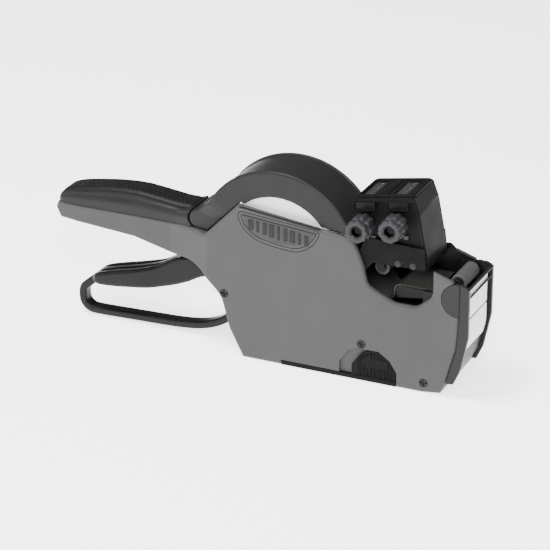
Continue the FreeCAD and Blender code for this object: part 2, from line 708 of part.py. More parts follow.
def make_trigger_pin():
    """Shouldered pivot: a thick middle for the trigger, thin ends in the shells, a screw head."""
    body = new_body("trigger_pin")
    at = (d.trigger_pivot_x, d.trigger_pivot_z)
    crosswise(body, "middle", [(*at, d.trigger_pin_radius)], -inner_half + 0.1, inner_half - 0.1)
    crosswise(body, "ends", [(*at, d.screw_radius)], -d.half_width + 1.0, d.half_width - 0.6)
    crosswise(body, "head", [(*at, d.screw_head)], -d.half_width + 0.2, -inner_half - 0.5)
    slot = 0.45
    cross = [[(at[0] - 1.7, at[1] - slot), (at[0] + 1.7, at[1] - slot),
              (at[0] + 1.7, at[1] + slot), (at[0] - 1.7, at[1] + slot)]]
    crosswise(body, "drive", cross, -d.half_width, -d.half_width + 0.9, cut=True)
    upright = [[(at[0] - slot, at[1] - 1.7), (at[0] + slot, at[1] - 1.7),
                (at[0] + slot, at[1] + 1.7), (at[0] - slot, at[1] + 1.7)]]
    crosswise(body, "drive_upright", upright, -d.half_width, -d.half_width + 0.9, cut=True)


def make_trigger_spring():
    """Compression spring between the trigger's neck and the handle's top: a wire swept on a helix."""
    wire, coil, turns = 0.55, 2.9, 6
    low, high = d.spring_low.number, d.spring_high.number
    spine = Part.makeHelix((high - low - 2 * wire) / turns, high - low - 2 * wire, coil)
    section = Part.Wire([Part.makeCircle(wire, FreeCAD.Vector(coil, 0, 0), FreeCAD.Vector(0, 1, 0))])
    spring = doc.addObject("Part::Feature", "trigger_spring")
    spring.Label = "trigger_spring"
    spring.Shape = Part.Wire(spine).makePipeShell([section], True, True)
    spring.Placement.Base = FreeCAD.Vector(d.spring_x.number, 0, low + wire)
    NODES.append(spring)


# ---- print head ------------------------------------------------------------

KNOBS = {"rear": (d.rear_knob_x, d.rear_knob_z, d.rear_type_x),
         "front": (d.front_knob_x, d.front_knob_z, d.front_type_x)}


def head_outline():
    return [
        (d.head_rear_x, d.head_top_rear_z - 8), (d.head_rear_x + 0.8, d.head_top_rear_z),
        (d.head_top_front_x, d.head_top_front_z), (d.head_top_front_x + 3.4, d.head_top_front_z - 8.6),
        (d.head_face_x - 2.6, d.head_low_z + 16), (d.head_face_x - 0.6, d.head_low_z + 6),
        (d.head_face_x, d.head_low_z), (d.head_face_x - 18, d.head_low_z + 0.8),
        (d.head_face_x - 19, d.head_shelf_z), (d.head_rear_x + 0.9, d.head_shelf_z)]


def make_head_case():
    """Print head's case, open underneath for the type bands, with two reading windows on top."""
    body = new_body("head_case")
    wall = d.head_wall
    outline = head_outline()
    crosswise(body, "case", [outline], -d.head_half, d.head_half)
    round_corners(body, "brow", [outline[1], outline[2]], 1.6)
    round_corners(body, "face_curve", [outline[3], outline[4]], 12.0)
    inside = [
        (d.head_rear_x + wall, d.head_top_rear_z - 8), (d.head_rear_x + wall + 0.8, d.head_top_rear_z - wall),
        (d.head_top_front_x - 1.6, d.head_top_front_z - wall - 0.4),
        (d.head_top_front_x + 1.8, d.head_top_front_z - 8.6), (d.head_face_x - 4.2, d.head_low_z + 16),
        (d.head_face_x - 2.2, d.head_low_z + 6), (d.head_face_x - wall, d.head_low_z - 5),
        (d.head_rear_x + 0.9 + wall, d.head_low_z - 5), (d.head_rear_x + 0.9 + wall, d.head_shelf_z)]
    crosswise(body, "inside", [inside], -d.head_half + wall, d.head_half - wall, cut=True)
    for name, (x, z, _) in KNOBS.items():
        crosswise(body, f"{name}_shaft_bore", [(x, z, d.shaft_radius + d.run_gap)], -20, 20, cut=True)
    half_y = d.wheel_pitch * 3 + 0.4
    low, high = d.head_top_rear_z - 4, d.head_top_front_z + 2
    windows = [[(x - 4.4, low), (x + 2.6, low), (x + 2.6, high), (x - 4.4, high)]
               for x, _, _ in KNOBS.values()]
    crosswise(body, "reading_windows", windows, -half_y, half_y, cut=True)
    anvils = [(KNOBS[name][2], d.type_z, d.anvil_radius + d.run_gap) for name in KNOBS]
    both_sides(body, "anvil_bores", anvils, d.head_half - wall - 1, d.head_half + 1, cut=True)
    both_sides(body, "ink_pin_bores", [(d.ink_pivot_x, d.ink_pivot_z + 6.2, 1.0 + d.run_gap)],
               d.head_half - wall - 1, d.head_half + 1, cut=True)


def make_lenses():
    """A clear lens standing in each reading window."""
    half_y = d.wheel_pitch * 3 + 0.2
    for name, (x, _, _) in KNOBS.items():
        lens = new_body(f"{name}_lens")
        along = (d.head_top_front_z - d.head_top_rear_z) / (d.head_top_front_x - d.head_rear_x - 0.8)
        top = d.head_top_rear_z + along * (x - d.head_rear_x - 0.8) - 0.5
        crosswise(lens, "plate", [[
            (x - 4.2, top - 1.2 - 4.2 * along), (x + 2.4, top - 1.2 + 2.4 * along),
            (x + 2.4, top + 2.4 * along), (x - 4.2, top - 4.2 * along)]], -half_y, half_y)


def make_head_yoke():
    """Two arms from the pivot under the roll to the head, joined by a bar."""
    body = new_body("head_yoke")
    px, pz = d.head_pivot_x, d.head_pivot_z
    near, far = d.head_half + 0.1, d.head_half + 0.1 + d.yoke_thick
    arm = [
        (px, pz - 5), (px + 30, pz + 2.6), (d.head_rear_x + 6, d.head_low_z - 7),
        (d.head_rear_x + 11, d.head_low_z - 0.6), (d.head_face_x - 0.6, d.head_low_z),
        (d.head_face_x - 2, d.head_low_z + 11), (d.head_rear_x + 7, d.head_low_z + 12.6),
        (d.head_rear_x + 1, d.head_low_z - 3), (px + 28, pz + 11.6), (px, pz + 5)]
    both_sides(body, "arm", [arm], near, far)
    both_sides(body, "eye", [(px, pz, 5.4)], near, far)
    crosswise(body, "bar", [[(px + 7, pz - 4.6), (px + 14, pz - 3), (px + 13.4, pz - 0.6),
                             (px + 7, pz - 1.4)]], -far, far)
    both_sides(body, "pin_eyes", [(px, pz, d.head_pin_radius + d.run_gap)], near - 1, far + 1, cut=True)
    anvils = [(KNOBS[name][2], d.type_z, d.anvil_radius + d.run_gap) for name in KNOBS]
    both_sides(body, "anvil_eyes", anvils, near - 1, far + 1, cut=True)


def make_selector(name, x, z):
    """One line's selector: fluted knob, shaft, detent ring, type wheels, type bands and anvil."""
    case_side = d.head_half + 0.2
    shaft_end = d.head_half - d.head_wall - 0.4
    ring_out = case_side + d.detent_width
    rod(f"{name}_shaft", x, z, d.shaft_radius, -ring_out - d.knob_length + 5.4, shaft_end)
    ring = new_body(f"{name}_detent_ring")
    crosswise(ring, "ring", [(x, z, d.detent_radius), (x, z, d.shaft_radius + d.run_gap)],
              -ring_out, -case_side)
    knob = new_body(f"{name}_knob")
    knob_in = -ring_out - d.gap
    crosswise(knob, "grip", [(x, z, d.knob_radius)], knob_in - d.knob_length, knob_in)
    round_edges(knob, "soft_ends", lambda edge: True, 0.7)
    crosswise(knob, "socket", [(x, z, d.knob_socket)], knob_in - d.knob_length - 1,
              knob_in - d.knob_length + 5, cut=True)
    crosswise(knob, "shaft_hole", [(x, z, d.shaft_radius + 0.01)], knob_in - d.knob_length + 4.9,
              knob_in + 1, cut=True)
    flutes = 9
    first = crosswise(knob, "flute", [(x, z + d.knob_radius + 0.5, 1.3)],
                      knob_in - d.knob_length - 1, knob_in + 1, cut=True)
    turn = knob.newObject("PartDesign::PolarPattern", "flutes")
    turn.Originals = [first]
    centre = new_sketch(knob, "knob_centre", "XZ_Plane", 0)
    draw_circle(centre, x, z, d.knob_radius)
    turn.Axis = (centre, ["N_Axis"])
    centre.setExpression(".AttachmentOffset.Base.x", x.text)
    centre.setExpression(".AttachmentOffset.Base.y", z.text)
    centre.deleteAllGeometry()
    turn.Angle = 360
    turn.Occurrences = flutes
    knob.Tip = turn
    doc.recompute()
    wheels = [make_wheel(name, x, z, step) for step in range(6)]
    group = doc.addObject("Part::Compound", f"{name}_type_wheels")
    group.Label = f"{name}_type_wheels"
    group.Links = wheels
    NODES.append(group)


def wheel_place(step):
    """Near face of a type wheel along Y, for a stack of six centred on the middle plane."""
    return -d.wheel_pitch * 3 + d.wheel_pitch * step + (d.wheel_pitch - d.wheel_width) / 2


def make_wheel(name, x, z, step):
    near = wheel_place(step)
    wheel = doc.addObject("PartDesign::Body", f"{name}_wheel_{step}")
    crosswise(wheel, "disc", [(x, z, d.wheel_radius), (x, z, d.shaft_radius + d.run_gap)],
              near, near + d.wheel_width)
    return wheel


def belt_face(low_x, low_z, low_radius, high_x, high_z, high_radius):
    """Side outline round two pulleys: their outer tangents and two arcs."""
    run, rise = high_x - low_x, high_z - low_z
    length = math.hypot(run, rise)
    heading = math.atan2(rise, run)
    lean = math.acos((low_radius - high_radius) / length)

    def on(x, z, radius, angle):
        return FreeCAD.Vector(x + radius * math.cos(angle), 0, z + radius * math.sin(angle))

    left, right = heading + lean, heading - lean
    corners = [on(low_x, low_z, low_radius, right), on(high_x, high_z, high_radius, right),
               on(high_x, high_z, high_radius, heading), on(high_x, high_z, high_radius, left),
               on(low_x, low_z, low_radius, left), on(low_x, low_z, low_radius, heading + math.pi)]
    edges = [Part.LineSegment(corners[0], corners[1]).toShape(),
             Part.Arc(corners[1], corners[2], corners[3]).toShape(),
             Part.LineSegment(corners[3], corners[4]).toShape(),
             Part.Arc(corners[4], corners[5], corners[0]).toShape()]
    return Part.Face(Part.Wire(edges))


def make_bands(name, x, z, type_x):
    """Six rubber type bands, each round its wheel and the anvil bar, with raised type outside."""
    bands = []
    inner_low, inner_high = d.anvil_radius.number + 0.1, d.wheel_radius.number + d.gap.number
    thick = d.band_thick.number
    place = (type_x.number, d.type_z.number), (x.number, z.number)
    outer = belt_face(*place[0], inner_low + thick, *place[1], inner_high + thick)
    inner = belt_face(*place[0], inner_low, *place[1], inner_high)
    for step in range(6):
        across = FreeCAD.Vector(0, d.wheel_width.number, 0)
        loop = outer.cut(inner).extrude(across)
        loop.translate(FreeCAD.Vector(0, wheel_place(step).number, 0))
        bands.append(loop)
    feature = doc.addObject("Part::Feature", f"{name}_type_bands")
    feature.Label = f"{name}_type_bands"
    feature.Shape = Part.makeCompound(bands)
    NODES.append(feature)


def make_ink_parts():
    """Sprung arm behind the type with the ink roller between its cheeks."""
    body = new_body("ink_arm")
    half = d.head_half - d.head_wall - d.gap
    top = d.ink_pivot_z + 6.2
    cheek = [(d.ink_pivot_x - 2.2, top), (d.ink_x - 2, d.ink_z - 1.4), (d.ink_x + 1.6, d.ink_z - 1.4),
             (d.ink_pivot_x + 2.2, top)]
    both_sides(body, "cheek", [cheek], half - 1.2, half)
    both_sides(body, "top_eye", [(d.ink_pivot_x, top, 2.3)], half - 1.2, half)
    both_sides(body, "low_eye", [(d.ink_x, d.ink_z, 2.0)], half - 1.2, half)
    crosswise(body, "bridge", [[(d.ink_pivot_x - 2.0, top - 11.4), (d.ink_pivot_x - 0.6, top - 11.4),
                                (d.ink_pivot_x - 0.8, top - 8), (d.ink_pivot_x - 2.2, top - 8)]],
              -half, half)
    both_sides(body, "pivot_stud", [(d.ink_pivot_x, top, 1.0)], half - 1.2, d.head_half - 0.1)
    crosswise(body, "roller_pin", [(d.ink_x, d.ink_z, 1.0)], -half, half)
    tube("ink_roller", d.ink_x, d.ink_z, d.ink_radius, 1.0 + d.run_gap, half - 1.5)


# ---- nose: frame, platen, applicator roller, door, labels -------------------

def make_nose():
    frame = new_body("nose_frame")
    near, far = d.web_half + 0.6, inner_half - 0.1
    px, pz = d.door_pivot_x, d.door_pivot_z
    plate = [(d.platen_front - 5.5, pz - 9), (d.platen_front - 5.5, d.platen_top + 0.4),
             (d.platen_front + 1.8, d.platen_top + 0.4), (d.platen_front + 3.6, pz + 8.8),
             (d.roller_x + 0.4, d.roller_z + 2.4), (px + 1.5, pz + 4), (px + 2, pz - 5.2), (px - 6, pz - 11)]
    both_sides(frame, "plate", [plate], near, far)
    both_sides(frame, "pivot_boss", [(px, pz, d.door_stub + 1.5)], near, far)
    crosswise(frame, "tie", [(d.platen_front - 1.6, pz - 7.0, 1.6)], -near - 0.1, near + 0.1)
    both_sides(frame, "pivot_bore", [(px, pz, d.door_stub + d.run_gap)], near - 1, far + 1, cut=True)
    both_sides(frame, "roller_bore", [(d.roller_x, d.roller_z, d.pin_radius)], near - 1, far + 1, cut=True)
    platen = new_body("platen")
    top, low = d.platen_top, d.platen_top - d.platen_thick
    crosswise(platen, "block", [[
        (d.platen_rear, low - 2), (d.platen_front - 7, low), (d.platen_front, top - 1.2),
        (d.platen_front, top), (d.platen_rear + 1.2, top), (d.platen_rear - 1.0, top - 1.6)]], -near, near)
    rod("applicator_axle", d.roller_x, d.roller_z, d.pin_radius, -far, far)
    roller = new_body("applicator_roller")
    crosswise(roller, "core", [(d.roller_x, d.roller_z, d.roller_radius - 1.2),
                               (d.roller_x, d.roller_z, d.pin_radius + d.run_gap)],
              -d.web_half + 0.2, d.web_half - 0.2)
    crosswise(roller, "tyre", [(d.roller_x, d.roller_z, d.roller_radius),
                               (d.roller_x, d.roller_z, d.pin_radius + d.run_gap)],
              -d.tyre_half, d.tyre_half)


def door_back():
    """Rear edge of the front door, just clear of the shells' front edge, low end first."""
    step = d.gap
    return [(d.toe_x + step + 0.2, d.toe_z + 0.6), (d.door_pivot_x - d.door_lean + step, d.toe_z + 20),
            (d.door_pivot_x + 0.5 + step, d.door_pivot_z - 12)]


def door_front(inset=0):
    """Front edge of the door, top end first."""
    reach = d.nose_reach - inset
    return [(reach, d.door_pivot_z + 6.2), (reach, d.door_knee_z + 1), (reach - 1.8, d.door_knee_z - 8),
            (reach - 3.8, d.toe_z + 8.6), (reach - 7.2, d.toe_z + 1.0)]


def make_front_door():
    """Curved front cover: two side flanges with round ears on stub pins, joined by a recessed skin."""
    body = new_body("front_door")
    px, pz = d.door_pivot_x, d.door_pivot_z
    flange_in = inner_half + 0.1
    side = [*door_back(), (px + 0.7, pz), (px + 1.4, pz + 8.4), (d.nose_reach - 1.0, pz + 7.2), *door_front()]
    both_sides(body, "flange", [side], flange_in, d.half_width)
    both_sides(body, "ear", [(px, pz, d.ear_radius)], flange_in, d.half_width)
    round_corners(body, "flange_curve", [door_front()[1], door_front()[2], door_front()[3]], 6.0)
    both_sides(body, "ear_top", [[(px - 12, pz + 9.0), (px + 1.4, pz + 8.4), (px + 1.4, pz + 14),
                                  (px - 12, pz + 14)]], flange_in - 1, d.half_width + 1, cut=True)
    both_sides(body, "ear_front", [[(d.nose_reach, pz - 12), (px + 14, pz - 12), (px + 14, pz + 12),
                                    (d.nose_reach, pz + 12)]], flange_in - 1, d.half_width + 1, cut=True)
    bars = [(d.nose_reach - 1.0, pz + 6.0, 0.8), (d.nose_reach - 0.75, pz + 1.6, 0.55)]
    crosswise(body, "bars", bars, -flange_in - 0.1, flange_in + 0.1)
    groove = [(px + 0.5, pz - 10), (px + 1.4, pz - 10), (px + 1.4, pz + 10), (px + 0.5, pz + 10)]
    both_sides(body, "ear_groove", [groove], d.half_width - 0.5, d.half_width + 1, cut=True)
    skin_top = pz - 9.2
    skin = [*door_back(), (px + 0.8, skin_top), (d.nose_reach - d.door_recess, skin_top),
            *door_front(d.door_recess)[1:]]
    crosswise(body, "skin", [skin], -flange_in, flange_in)
    both_sides(body, "stub", [(px, pz, d.door_stub)], d.web_half + 0.8, flange_in)


def make_labels():
    """Backing web from the roll over the platen, and the strip of labels hanging at the nose."""
    web = new_body("label_web")
    thick = d.web_thick
    under = d.feed_z - d.feed_radius - d.web_gap / 2
    top = d.platen_top + 0.1
    line = [(d.roll_x + 8, d.roll_z - d.roll_radius - 0.4), (d.feed_x - 10.5, d.feed_z - 2),
            (d.feed_x - 6.5, under + 1.2), (d.feed_x - 2, under), (d.feed_x + 2, under),
            (d.feed_x + 6, under + 1.6),
            (d.platen_rear - 1.8, top - 7.2), (d.platen_rear - 1.2, top - 1.4),
            (d.platen_rear + 1.1, top), (d.platen_front + 0.3, top)]
    steep = [(x - thick, z + thick) for x, z in line[5:8]]
    back = [(x + thick, z + thick) for x, z in line[:3]]
    back += [(x, z + thick) for x, z in line[3:5]] + steep + [(x, z + thick) for x, z in line[8:]]
    crosswise(web, "strip", [line + back[::-1]], -d.web_half, d.web_half)
    strip = new_body("label_strip")
    face = door_front(d.door_recess)
    lay = 0.05
    run = [(face[2][0] + lay, face[2][1]), (face[1][0] + lay, face[1][1]),
           (face[1][0] + lay, d.door_pivot_z - 9.2), (face[1][0] + lay, d.door_pivot_z + 4.4)]
    crosswise(strip, "strip", [run + [(x + 0.5, z) for x, z in run[::-1]]], -d.web_half, d.web_half)


# ---- feed ------------------------------------------------------------------

def make_feed():
    """Toothed feed wheel, its axle, and the lever and pawl that step it."""
    rod("feed_axle", d.feed_x, d.feed_z, d.feed_axle_radius, -d.half_width + 0.7, d.half_width - 0.7)
    wheel = new_body("feed_wheel")
    bore = (d.feed_x, d.feed_z, d.feed_axle_radius + d.run_gap)
    crosswise(wheel, "drum", [(d.feed_x, d.feed_z, d.feed_radius), bore], -d.feed_half, d.feed_half)
    first = crosswise(wheel, "tooth_gap", [(d.feed_x, d.feed_z + d.feed_radius + 0.3, 1.2)],
                      d.feed_half - 2.4, d.feed_half + 1, cut=True)
    centre = new_sketch(wheel, "wheel_centre", "XZ_Plane", 0)
    centre.setExpression(".AttachmentOffset.Base.x", d.feed_x.text)
    centre.setExpression(".AttachmentOffset.Base.y", d.feed_z.text)
    ring = wheel.newObject("PartDesign::PolarPattern", "tooth_gaps")
    ring.Originals = [first]
    ring.Axis = (centre, ["N_Axis"])
    ring.Angle = 360
    ring.Occurrences = 14
    wheel.Tip = ring
    doc.recompute()
    lever = new_body("feed_lever")
    near, far = d.feed_half + d.gap, d.feed_half + d.gap + 2.0
    crosswise(lever, "hub", [(d.feed_x, d.feed_z, 4.6)], near, far)
    crosswise(lever, "arm", [[(d.feed_x - 3.4, d.feed_z - 2.6), (d.feed_x + 2, d.feed_z),
                              (d.feed_x - 5.6, d.feed_z + 9.6), (d.feed_x - 8.2, d.feed_z + 7.8)]], near, far)
    crosswise(lever, "pawl_arm", [[(d.feed_x - 3.6, d.feed_z), (d.feed_x + 3.6, d.feed_z),
                                   (d.feed_x + 1.2, d.feed_z + 13.6), (d.feed_x - 3, d.feed_z + 13.6)]],
              near, far)
    crosswise(lever, "bore", [bore], near - 1, far + 1, cut=True)
    pivot_x, pivot_z = d.feed_x - 0.8, d.feed_z + 11.6
    crosswise(lever, "pawl_pin", [(pivot_x, pivot_z, 0.9)], near - 2.1, far)
    pawl = new_body("feed_pawl")
    crosswise(pawl, "finger", [[(pivot_x, pivot_z + 1.6), (pivot_x + 5.4, pivot_z - 2.8),
                                (pivot_x + 4.6, pivot_z - 3.6), (pivot_x, pivot_z - 1.0)]],
              near - 2.1, near - d.gap)
    crosswise(pawl, "eye", [(pivot_x, pivot_z, 1.9)], near - 2.1, near - d.gap)
    crosswise(pawl, "bore", [(pivot_x, pivot_z, 0.9 + d.run_gap)], near - 3, near, cut=True)


# ---- base cover, pinch roller and latch -------------------------------------

def make_base():
    cover = new_body("base_cover")
    low, high = d.cover_floor, d.cover_floor + d.plate_thick
    hinge_z = d.cover_floor + d.plate_thick / 2
    start = d.base_hinge_x + 2.8
    full = d.half_width
    crosswise(cover, "plate", [[(start, low), (d.plate_front, low), (d.plate_front, high),
                                (start, high)]], -full, full)
    crosswise(cover, "tail", [[(d.plate_rear + 0.8, low), (start + 1, low), (start + 1, high),
                               (d.plate_rear, high), (d.plate_rear, low + 0.8)]],
              -inner_half + d.gap, inner_half - d.gap)
    cheek_in, cheek_out = d.web_half + 0.6, inner_half - d.gap
    both_sides(cover, "pinch_cheek", [[
        (d.feed_x - 4, high - 0.2), (d.feed_x + 4, high - 0.2), (d.feed_x + 2.4, pinch_z + 1.6),
        (d.feed_x - 2.4, pinch_z + 1.6)]], cheek_in, cheek_out)
    both_sides(cover, "pinch_bore", [(d.feed_x, pinch_z, d.base_pin_radius + 0.4)],
               cheek_in - 1, cheek_out + 1, cut=True)
    crosswise(cover, "hinge_bore", [(d.base_hinge_x, hinge_z, d.base_pin_radius + d.run_gap)],
              -20, 20, cut=True)
    rod("base_hinge_pin", d.base_hinge_x, hinge_z, d.base_pin_radius, -d.half_width + 0.7, d.half_width - 0.7)
    rod("pinch_axle", d.feed_x, pinch_z, d.base_pin_radius + 0.4, -cheek_out, cheek_out)
    tube("pinch_roller", d.feed_x, pinch_z, d.pinch_radius, d.base_pin_radius + 0.4 + d.run_gap,
         d.web_half - 0.2)
    latch = new_body("base_latch")
    ear_in = d.half_width - d.ear_thick
    both_sides(latch, "ear", [latch_window(0)], ear_in, d.half_width)
    cross_low, cross_high = high + d.gap, high + d.gap + 2.6
    cross_rear = d.ear_rear + d.latch_travel + 1.3
    crosswise(latch, "cross_plate", [[
        (cross_rear, cross_low), (d.ear_front, cross_low), (d.ear_front, cross_high),
        (cross_rear, cross_high)]], -ear_in - 0.1, ear_in + 0.1)


def make_screws():
    """The two self-tapping screws that close the housing, one node."""
    screws = []
    for step, (x, z) in enumerate(SCREWS):
        screw = doc.addObject("PartDesign::Body", f"case_screw_{step}")
        crosswise(screw, "shank", [(x, z, d.screw_radius)], -inner_half, inner_half)
        crosswise(screw, "head", [(x, z, d.screw_head)], -d.half_width + 0.3, -inner_half - 0.45)
        crosswise(screw, "neck", [(x, z, d.screw_radius)], -inner_half - 0.5, -inner_half)
        arms = [(1.7, 0.45), (0.45, 1.7)]
        for name, (wide, tall) in zip(("drive", "drive_upright"), arms):
            crosswise(screw, name, [[(x - wide, z - tall), (x + wide, z - tall), (x + wide, z + tall),
                                     (x - wide, z + tall)]], -d.half_width, -d.half_width + 0.9, cut=True)
        screws.append(screw)
    group = doc.addObject("Part::Compound", "case_screws")
    group.Label = "case_screws"
    group.Links = screws
    NODES.append(group)


def make_pins():
    rod("head_pivot_pin", d.head_pivot_x, d.head_pivot_z, d.head_pin_radius,
        -d.half_width + 0.7, d.half_width - 0.7)
    rod("cover_hinge_pin", d.cover_hinge_x, d.cover_hinge_z, d.pin_radius, -11.8, 11.8)
    for name, (_, _, type_x) in KNOBS.items():
        end = d.head_half + d.yoke_thick
        rod(f"{name}_anvil_bar", type_x, d.type_z, d.anvil_radius, -end, end)


# ---- build -----------------------------------------------------------------

make_shell("right_shell", RIGHT)
make_shell("left_shell", LEFT)
make_badge()
make_handle_top()
make_grip_pad()
make_roll_cover()
make_roll()
make_trigger()
make_trigger_pin()
make_trigger_spring()
make_head_case()
make_lenses()
make_head_yoke()
for line_name, (knob_x, knob_z, line_x) in KNOBS.items():
    make_selector(line_name, knob_x, knob_z)
    make_bands(line_name, knob_x, knob_z, line_x)
make_ink_parts()
make_nose()
make_front_door()
make_labels()
make_feed()
make_base()
make_screws()
make_pins()
doc.recompute()

problems = [item.Label for item in doc.Objects if {"Invalid", "Error"} & set(item.State)]
problems += [node.Label for node in NODES if node.Shape.isNull() or not node.Shape.isValid()]
if problems:
    raise ValueError("failed: " + ", ".join(problems))
os.makedirs("parts", exist_ok=True)
for node in NODES:
    node.Shape.exportStep(f"parts/{node.Label}.step")
    print(f"{node.Label:20s} solids {len(node.Shape.Solids)} volume {node.Shape.Volume:10.1f}")
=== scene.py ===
import json
import math

import bpy
import numpy as np
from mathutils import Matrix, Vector


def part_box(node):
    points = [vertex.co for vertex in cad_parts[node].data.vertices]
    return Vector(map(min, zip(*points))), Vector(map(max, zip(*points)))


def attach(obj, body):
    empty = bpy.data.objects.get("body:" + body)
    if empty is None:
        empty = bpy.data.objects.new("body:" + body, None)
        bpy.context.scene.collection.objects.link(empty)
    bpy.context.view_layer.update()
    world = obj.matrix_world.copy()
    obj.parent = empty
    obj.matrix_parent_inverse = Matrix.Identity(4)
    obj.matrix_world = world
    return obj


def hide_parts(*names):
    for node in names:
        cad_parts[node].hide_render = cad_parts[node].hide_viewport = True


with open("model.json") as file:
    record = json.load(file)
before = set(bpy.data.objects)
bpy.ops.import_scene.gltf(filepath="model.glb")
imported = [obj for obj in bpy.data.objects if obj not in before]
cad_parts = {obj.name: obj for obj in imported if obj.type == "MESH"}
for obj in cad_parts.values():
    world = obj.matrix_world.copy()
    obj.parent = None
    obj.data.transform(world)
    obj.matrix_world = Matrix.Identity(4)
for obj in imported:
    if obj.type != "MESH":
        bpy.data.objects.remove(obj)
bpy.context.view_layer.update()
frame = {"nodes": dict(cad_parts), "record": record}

# Looks of a hand-held two-line price labeling gun, in metres, in the CAD frame:
# +X to the nose, handle at -X, -Y is the side with the selector knobs, +Z up.

MM = 0.001


# ---- colours and nodes -------------------------------------------------------

def linear(hex_code):
    """An sRGB hex colour as linear RGBA."""
    parts = [int(hex_code[step:step + 2], 16) / 255 for step in (1, 3, 5)]
    return (*[p / 12.92 if p <= 0.04045 else ((p + 0.055) / 1.055) ** 2.4 for p in parts], 1.0)


def add(tree, kind, inputs=None, **settings):
    """Add a node; inputs are numbers, colours or other nodes' outputs, by socket name or number."""
    made = tree.nodes.new(kind)
    for name, value in settings.items():
        setattr(made, name, value)
    for name, value in (inputs or {}).items():
        socket = made.inputs[name]
        if isinstance(value, bpy.types.NodeSocket):
            tree.links.new(value, socket)
        else:
            socket.default_value = value
    return made


def new_material(name, **surface):
    """A material with one Principled shader; surface holds values of its sockets."""
    material = bpy.data.materials.new(name)
    material.use_nodes = True
    tree = material.node_tree
    tree.nodes.clear()
    output = add(tree, "ShaderNodeOutputMaterial")
    shader = add(tree, "ShaderNodeBsdfPrincipled")
    for socket, value in surface.items():
        shader.inputs[socket.replace("_", " ")].default_value = value
    tree.links.new(shader.outputs[0], output.inputs["Surface"])
    place = add(tree, "ShaderNodeTexCoord").outputs["Object"]
    return material, tree, shader, place


def per_size(size_mm):
    """A texture's Scale that makes its cells about size_mm across on coordinates in metres."""
    return 1.0 / (size_mm * MM)


def mottled(tree, place, size_mm, low_hex, high_hex, detail=3.0):
    """Colour that drifts between two shades over patches of size_mm."""
    noise = add(tree, "ShaderNodeTexNoise", {"Vector": place, "Scale": per_size(size_mm), "Detail": detail})
    mix = add(tree, "ShaderNodeMix", {"Factor": noise.outputs["Fac"]}, data_type="RGBA")
    first_colour, second_colour, mixed_colour = 6, 7, 2        # a Mix node's sockets when it mixes colours
    mix.inputs[first_colour].default_value = linear(low_hex)
    mix.inputs[second_colour].default_value = linear(high_hex)
    return mix.outputs[mixed_colour]


def roughness_drift(tree, place, size_mm, low, high):
    """Roughness that drifts between two values, as handling and moulding leave it. Most of the noise lies
    between 0.3 and 0.7, so that part is stretched over the whole range."""
    noise = add(tree, "ShaderNodeTexNoise", {"Vector": place, "Scale": per_size(size_mm), "Detail": 4.0})
    spread = add(tree, "ShaderNodeMapRange", {"Value": noise.outputs["Fac"], "From Min": 0.3, "From Max": 0.7,
                                              "To Min": low, "To Max": high})
    return spread.outputs["Result"]


def bumped(tree, height, depth_mm, strength=1.0, onto=None):
    """Normal from a height pattern whose full step is depth_mm deep."""
    inputs = {"Height": height, "Distance": depth_mm * MM, "Strength": strength}
    if onto is not None:
        inputs["Normal"] = onto
    return add(tree, "ShaderNodeBump", inputs).outputs["Normal"]


def grit(tree, place, size_mm):
    """Fine even grain."""
    return add(tree, "ShaderNodeTexNoise", {"Vector": place, "Scale": per_size(size_mm), "Detail": 2.0,
                                            "Roughness": 0.6}).outputs["Fac"]


# ---- materials ---------------------------------------------------------------

def spark_textured_abs():
    """Grey ABS from a spark-eroded mould: even matt grain that breaks highlights into a soft sheen."""
    material, tree, shader, place = new_material("spark_textured_abs", IOR=1.54, Specular_IOR_Level=0.14)
    tree.links.new(mottled(tree, place, 18, "#383839", "#3e3e3f"), shader.inputs["Base Color"])
    tree.links.new(roughness_drift(tree, place, 24, 0.46, 0.56), shader.inputs["Roughness"])
    # real grain is about 0.2 mm; drawn at 0.7 mm so that it shows
    grain = bumped(tree, grit(tree, place, 0.7), 0.09, 0.55)
    tree.links.new(grain, shader.inputs["Normal"])
    return material


def satin_plastic(name, low_hex, high_hex, rough_low, rough_high, shine=0.12):
    """Dark ABS, nylon or acetal from a polished or finely blasted mould: smooth, with soft highlights."""
    material, tree, shader, place = new_material(name, IOR=1.54, Specular_IOR_Level=shine)
    tree.links.new(mottled(tree, place, 15, low_hex, high_hex), shader.inputs["Base Color"])
    tree.links.new(roughness_drift(tree, place, 12, rough_low, rough_high), shader.inputs["Roughness"])
    # faint ripple of a moulded skin, about 1.5 mm across
    tree.links.new(bumped(tree, grit(tree, place, 1.5), 0.02, 0.35), shader.inputs["Normal"])
    return material


def dimpled_grip_rubber():
    """Black thermoplastic rubber moulded over the handle: matt, with a fine grain over its dimples."""
    material, tree, shader, place = new_material(
        "dimpled_grip_rubber", IOR=1.5, Roughness=0.5, Specular_IOR_Level=0.16)
    tree.links.new(mottled(tree, place, 9, "#0d0d0e", "#131314"), shader.inputs["Base Color"])
    tree.links.new(bumped(tree, grit(tree, place, 0.5), 0.05, 0.5), shader.inputs["Normal"])
    return material


def clear_polycarbonate():
    """Moulded clear polycarbonate: glassy, slightly smoked, with a little wear in its gloss."""
    material, tree, shader, place = new_material(
        "clear_polycarbonate", IOR=1.45, Transmission_Weight=0.92, Specular_IOR_Level=0.3,
        Base_Color=linear("#6e7071"))
    tree.links.new(roughness_drift(tree, place, 3, 0.04, 0.16), shader.inputs["Roughness"])
    return material


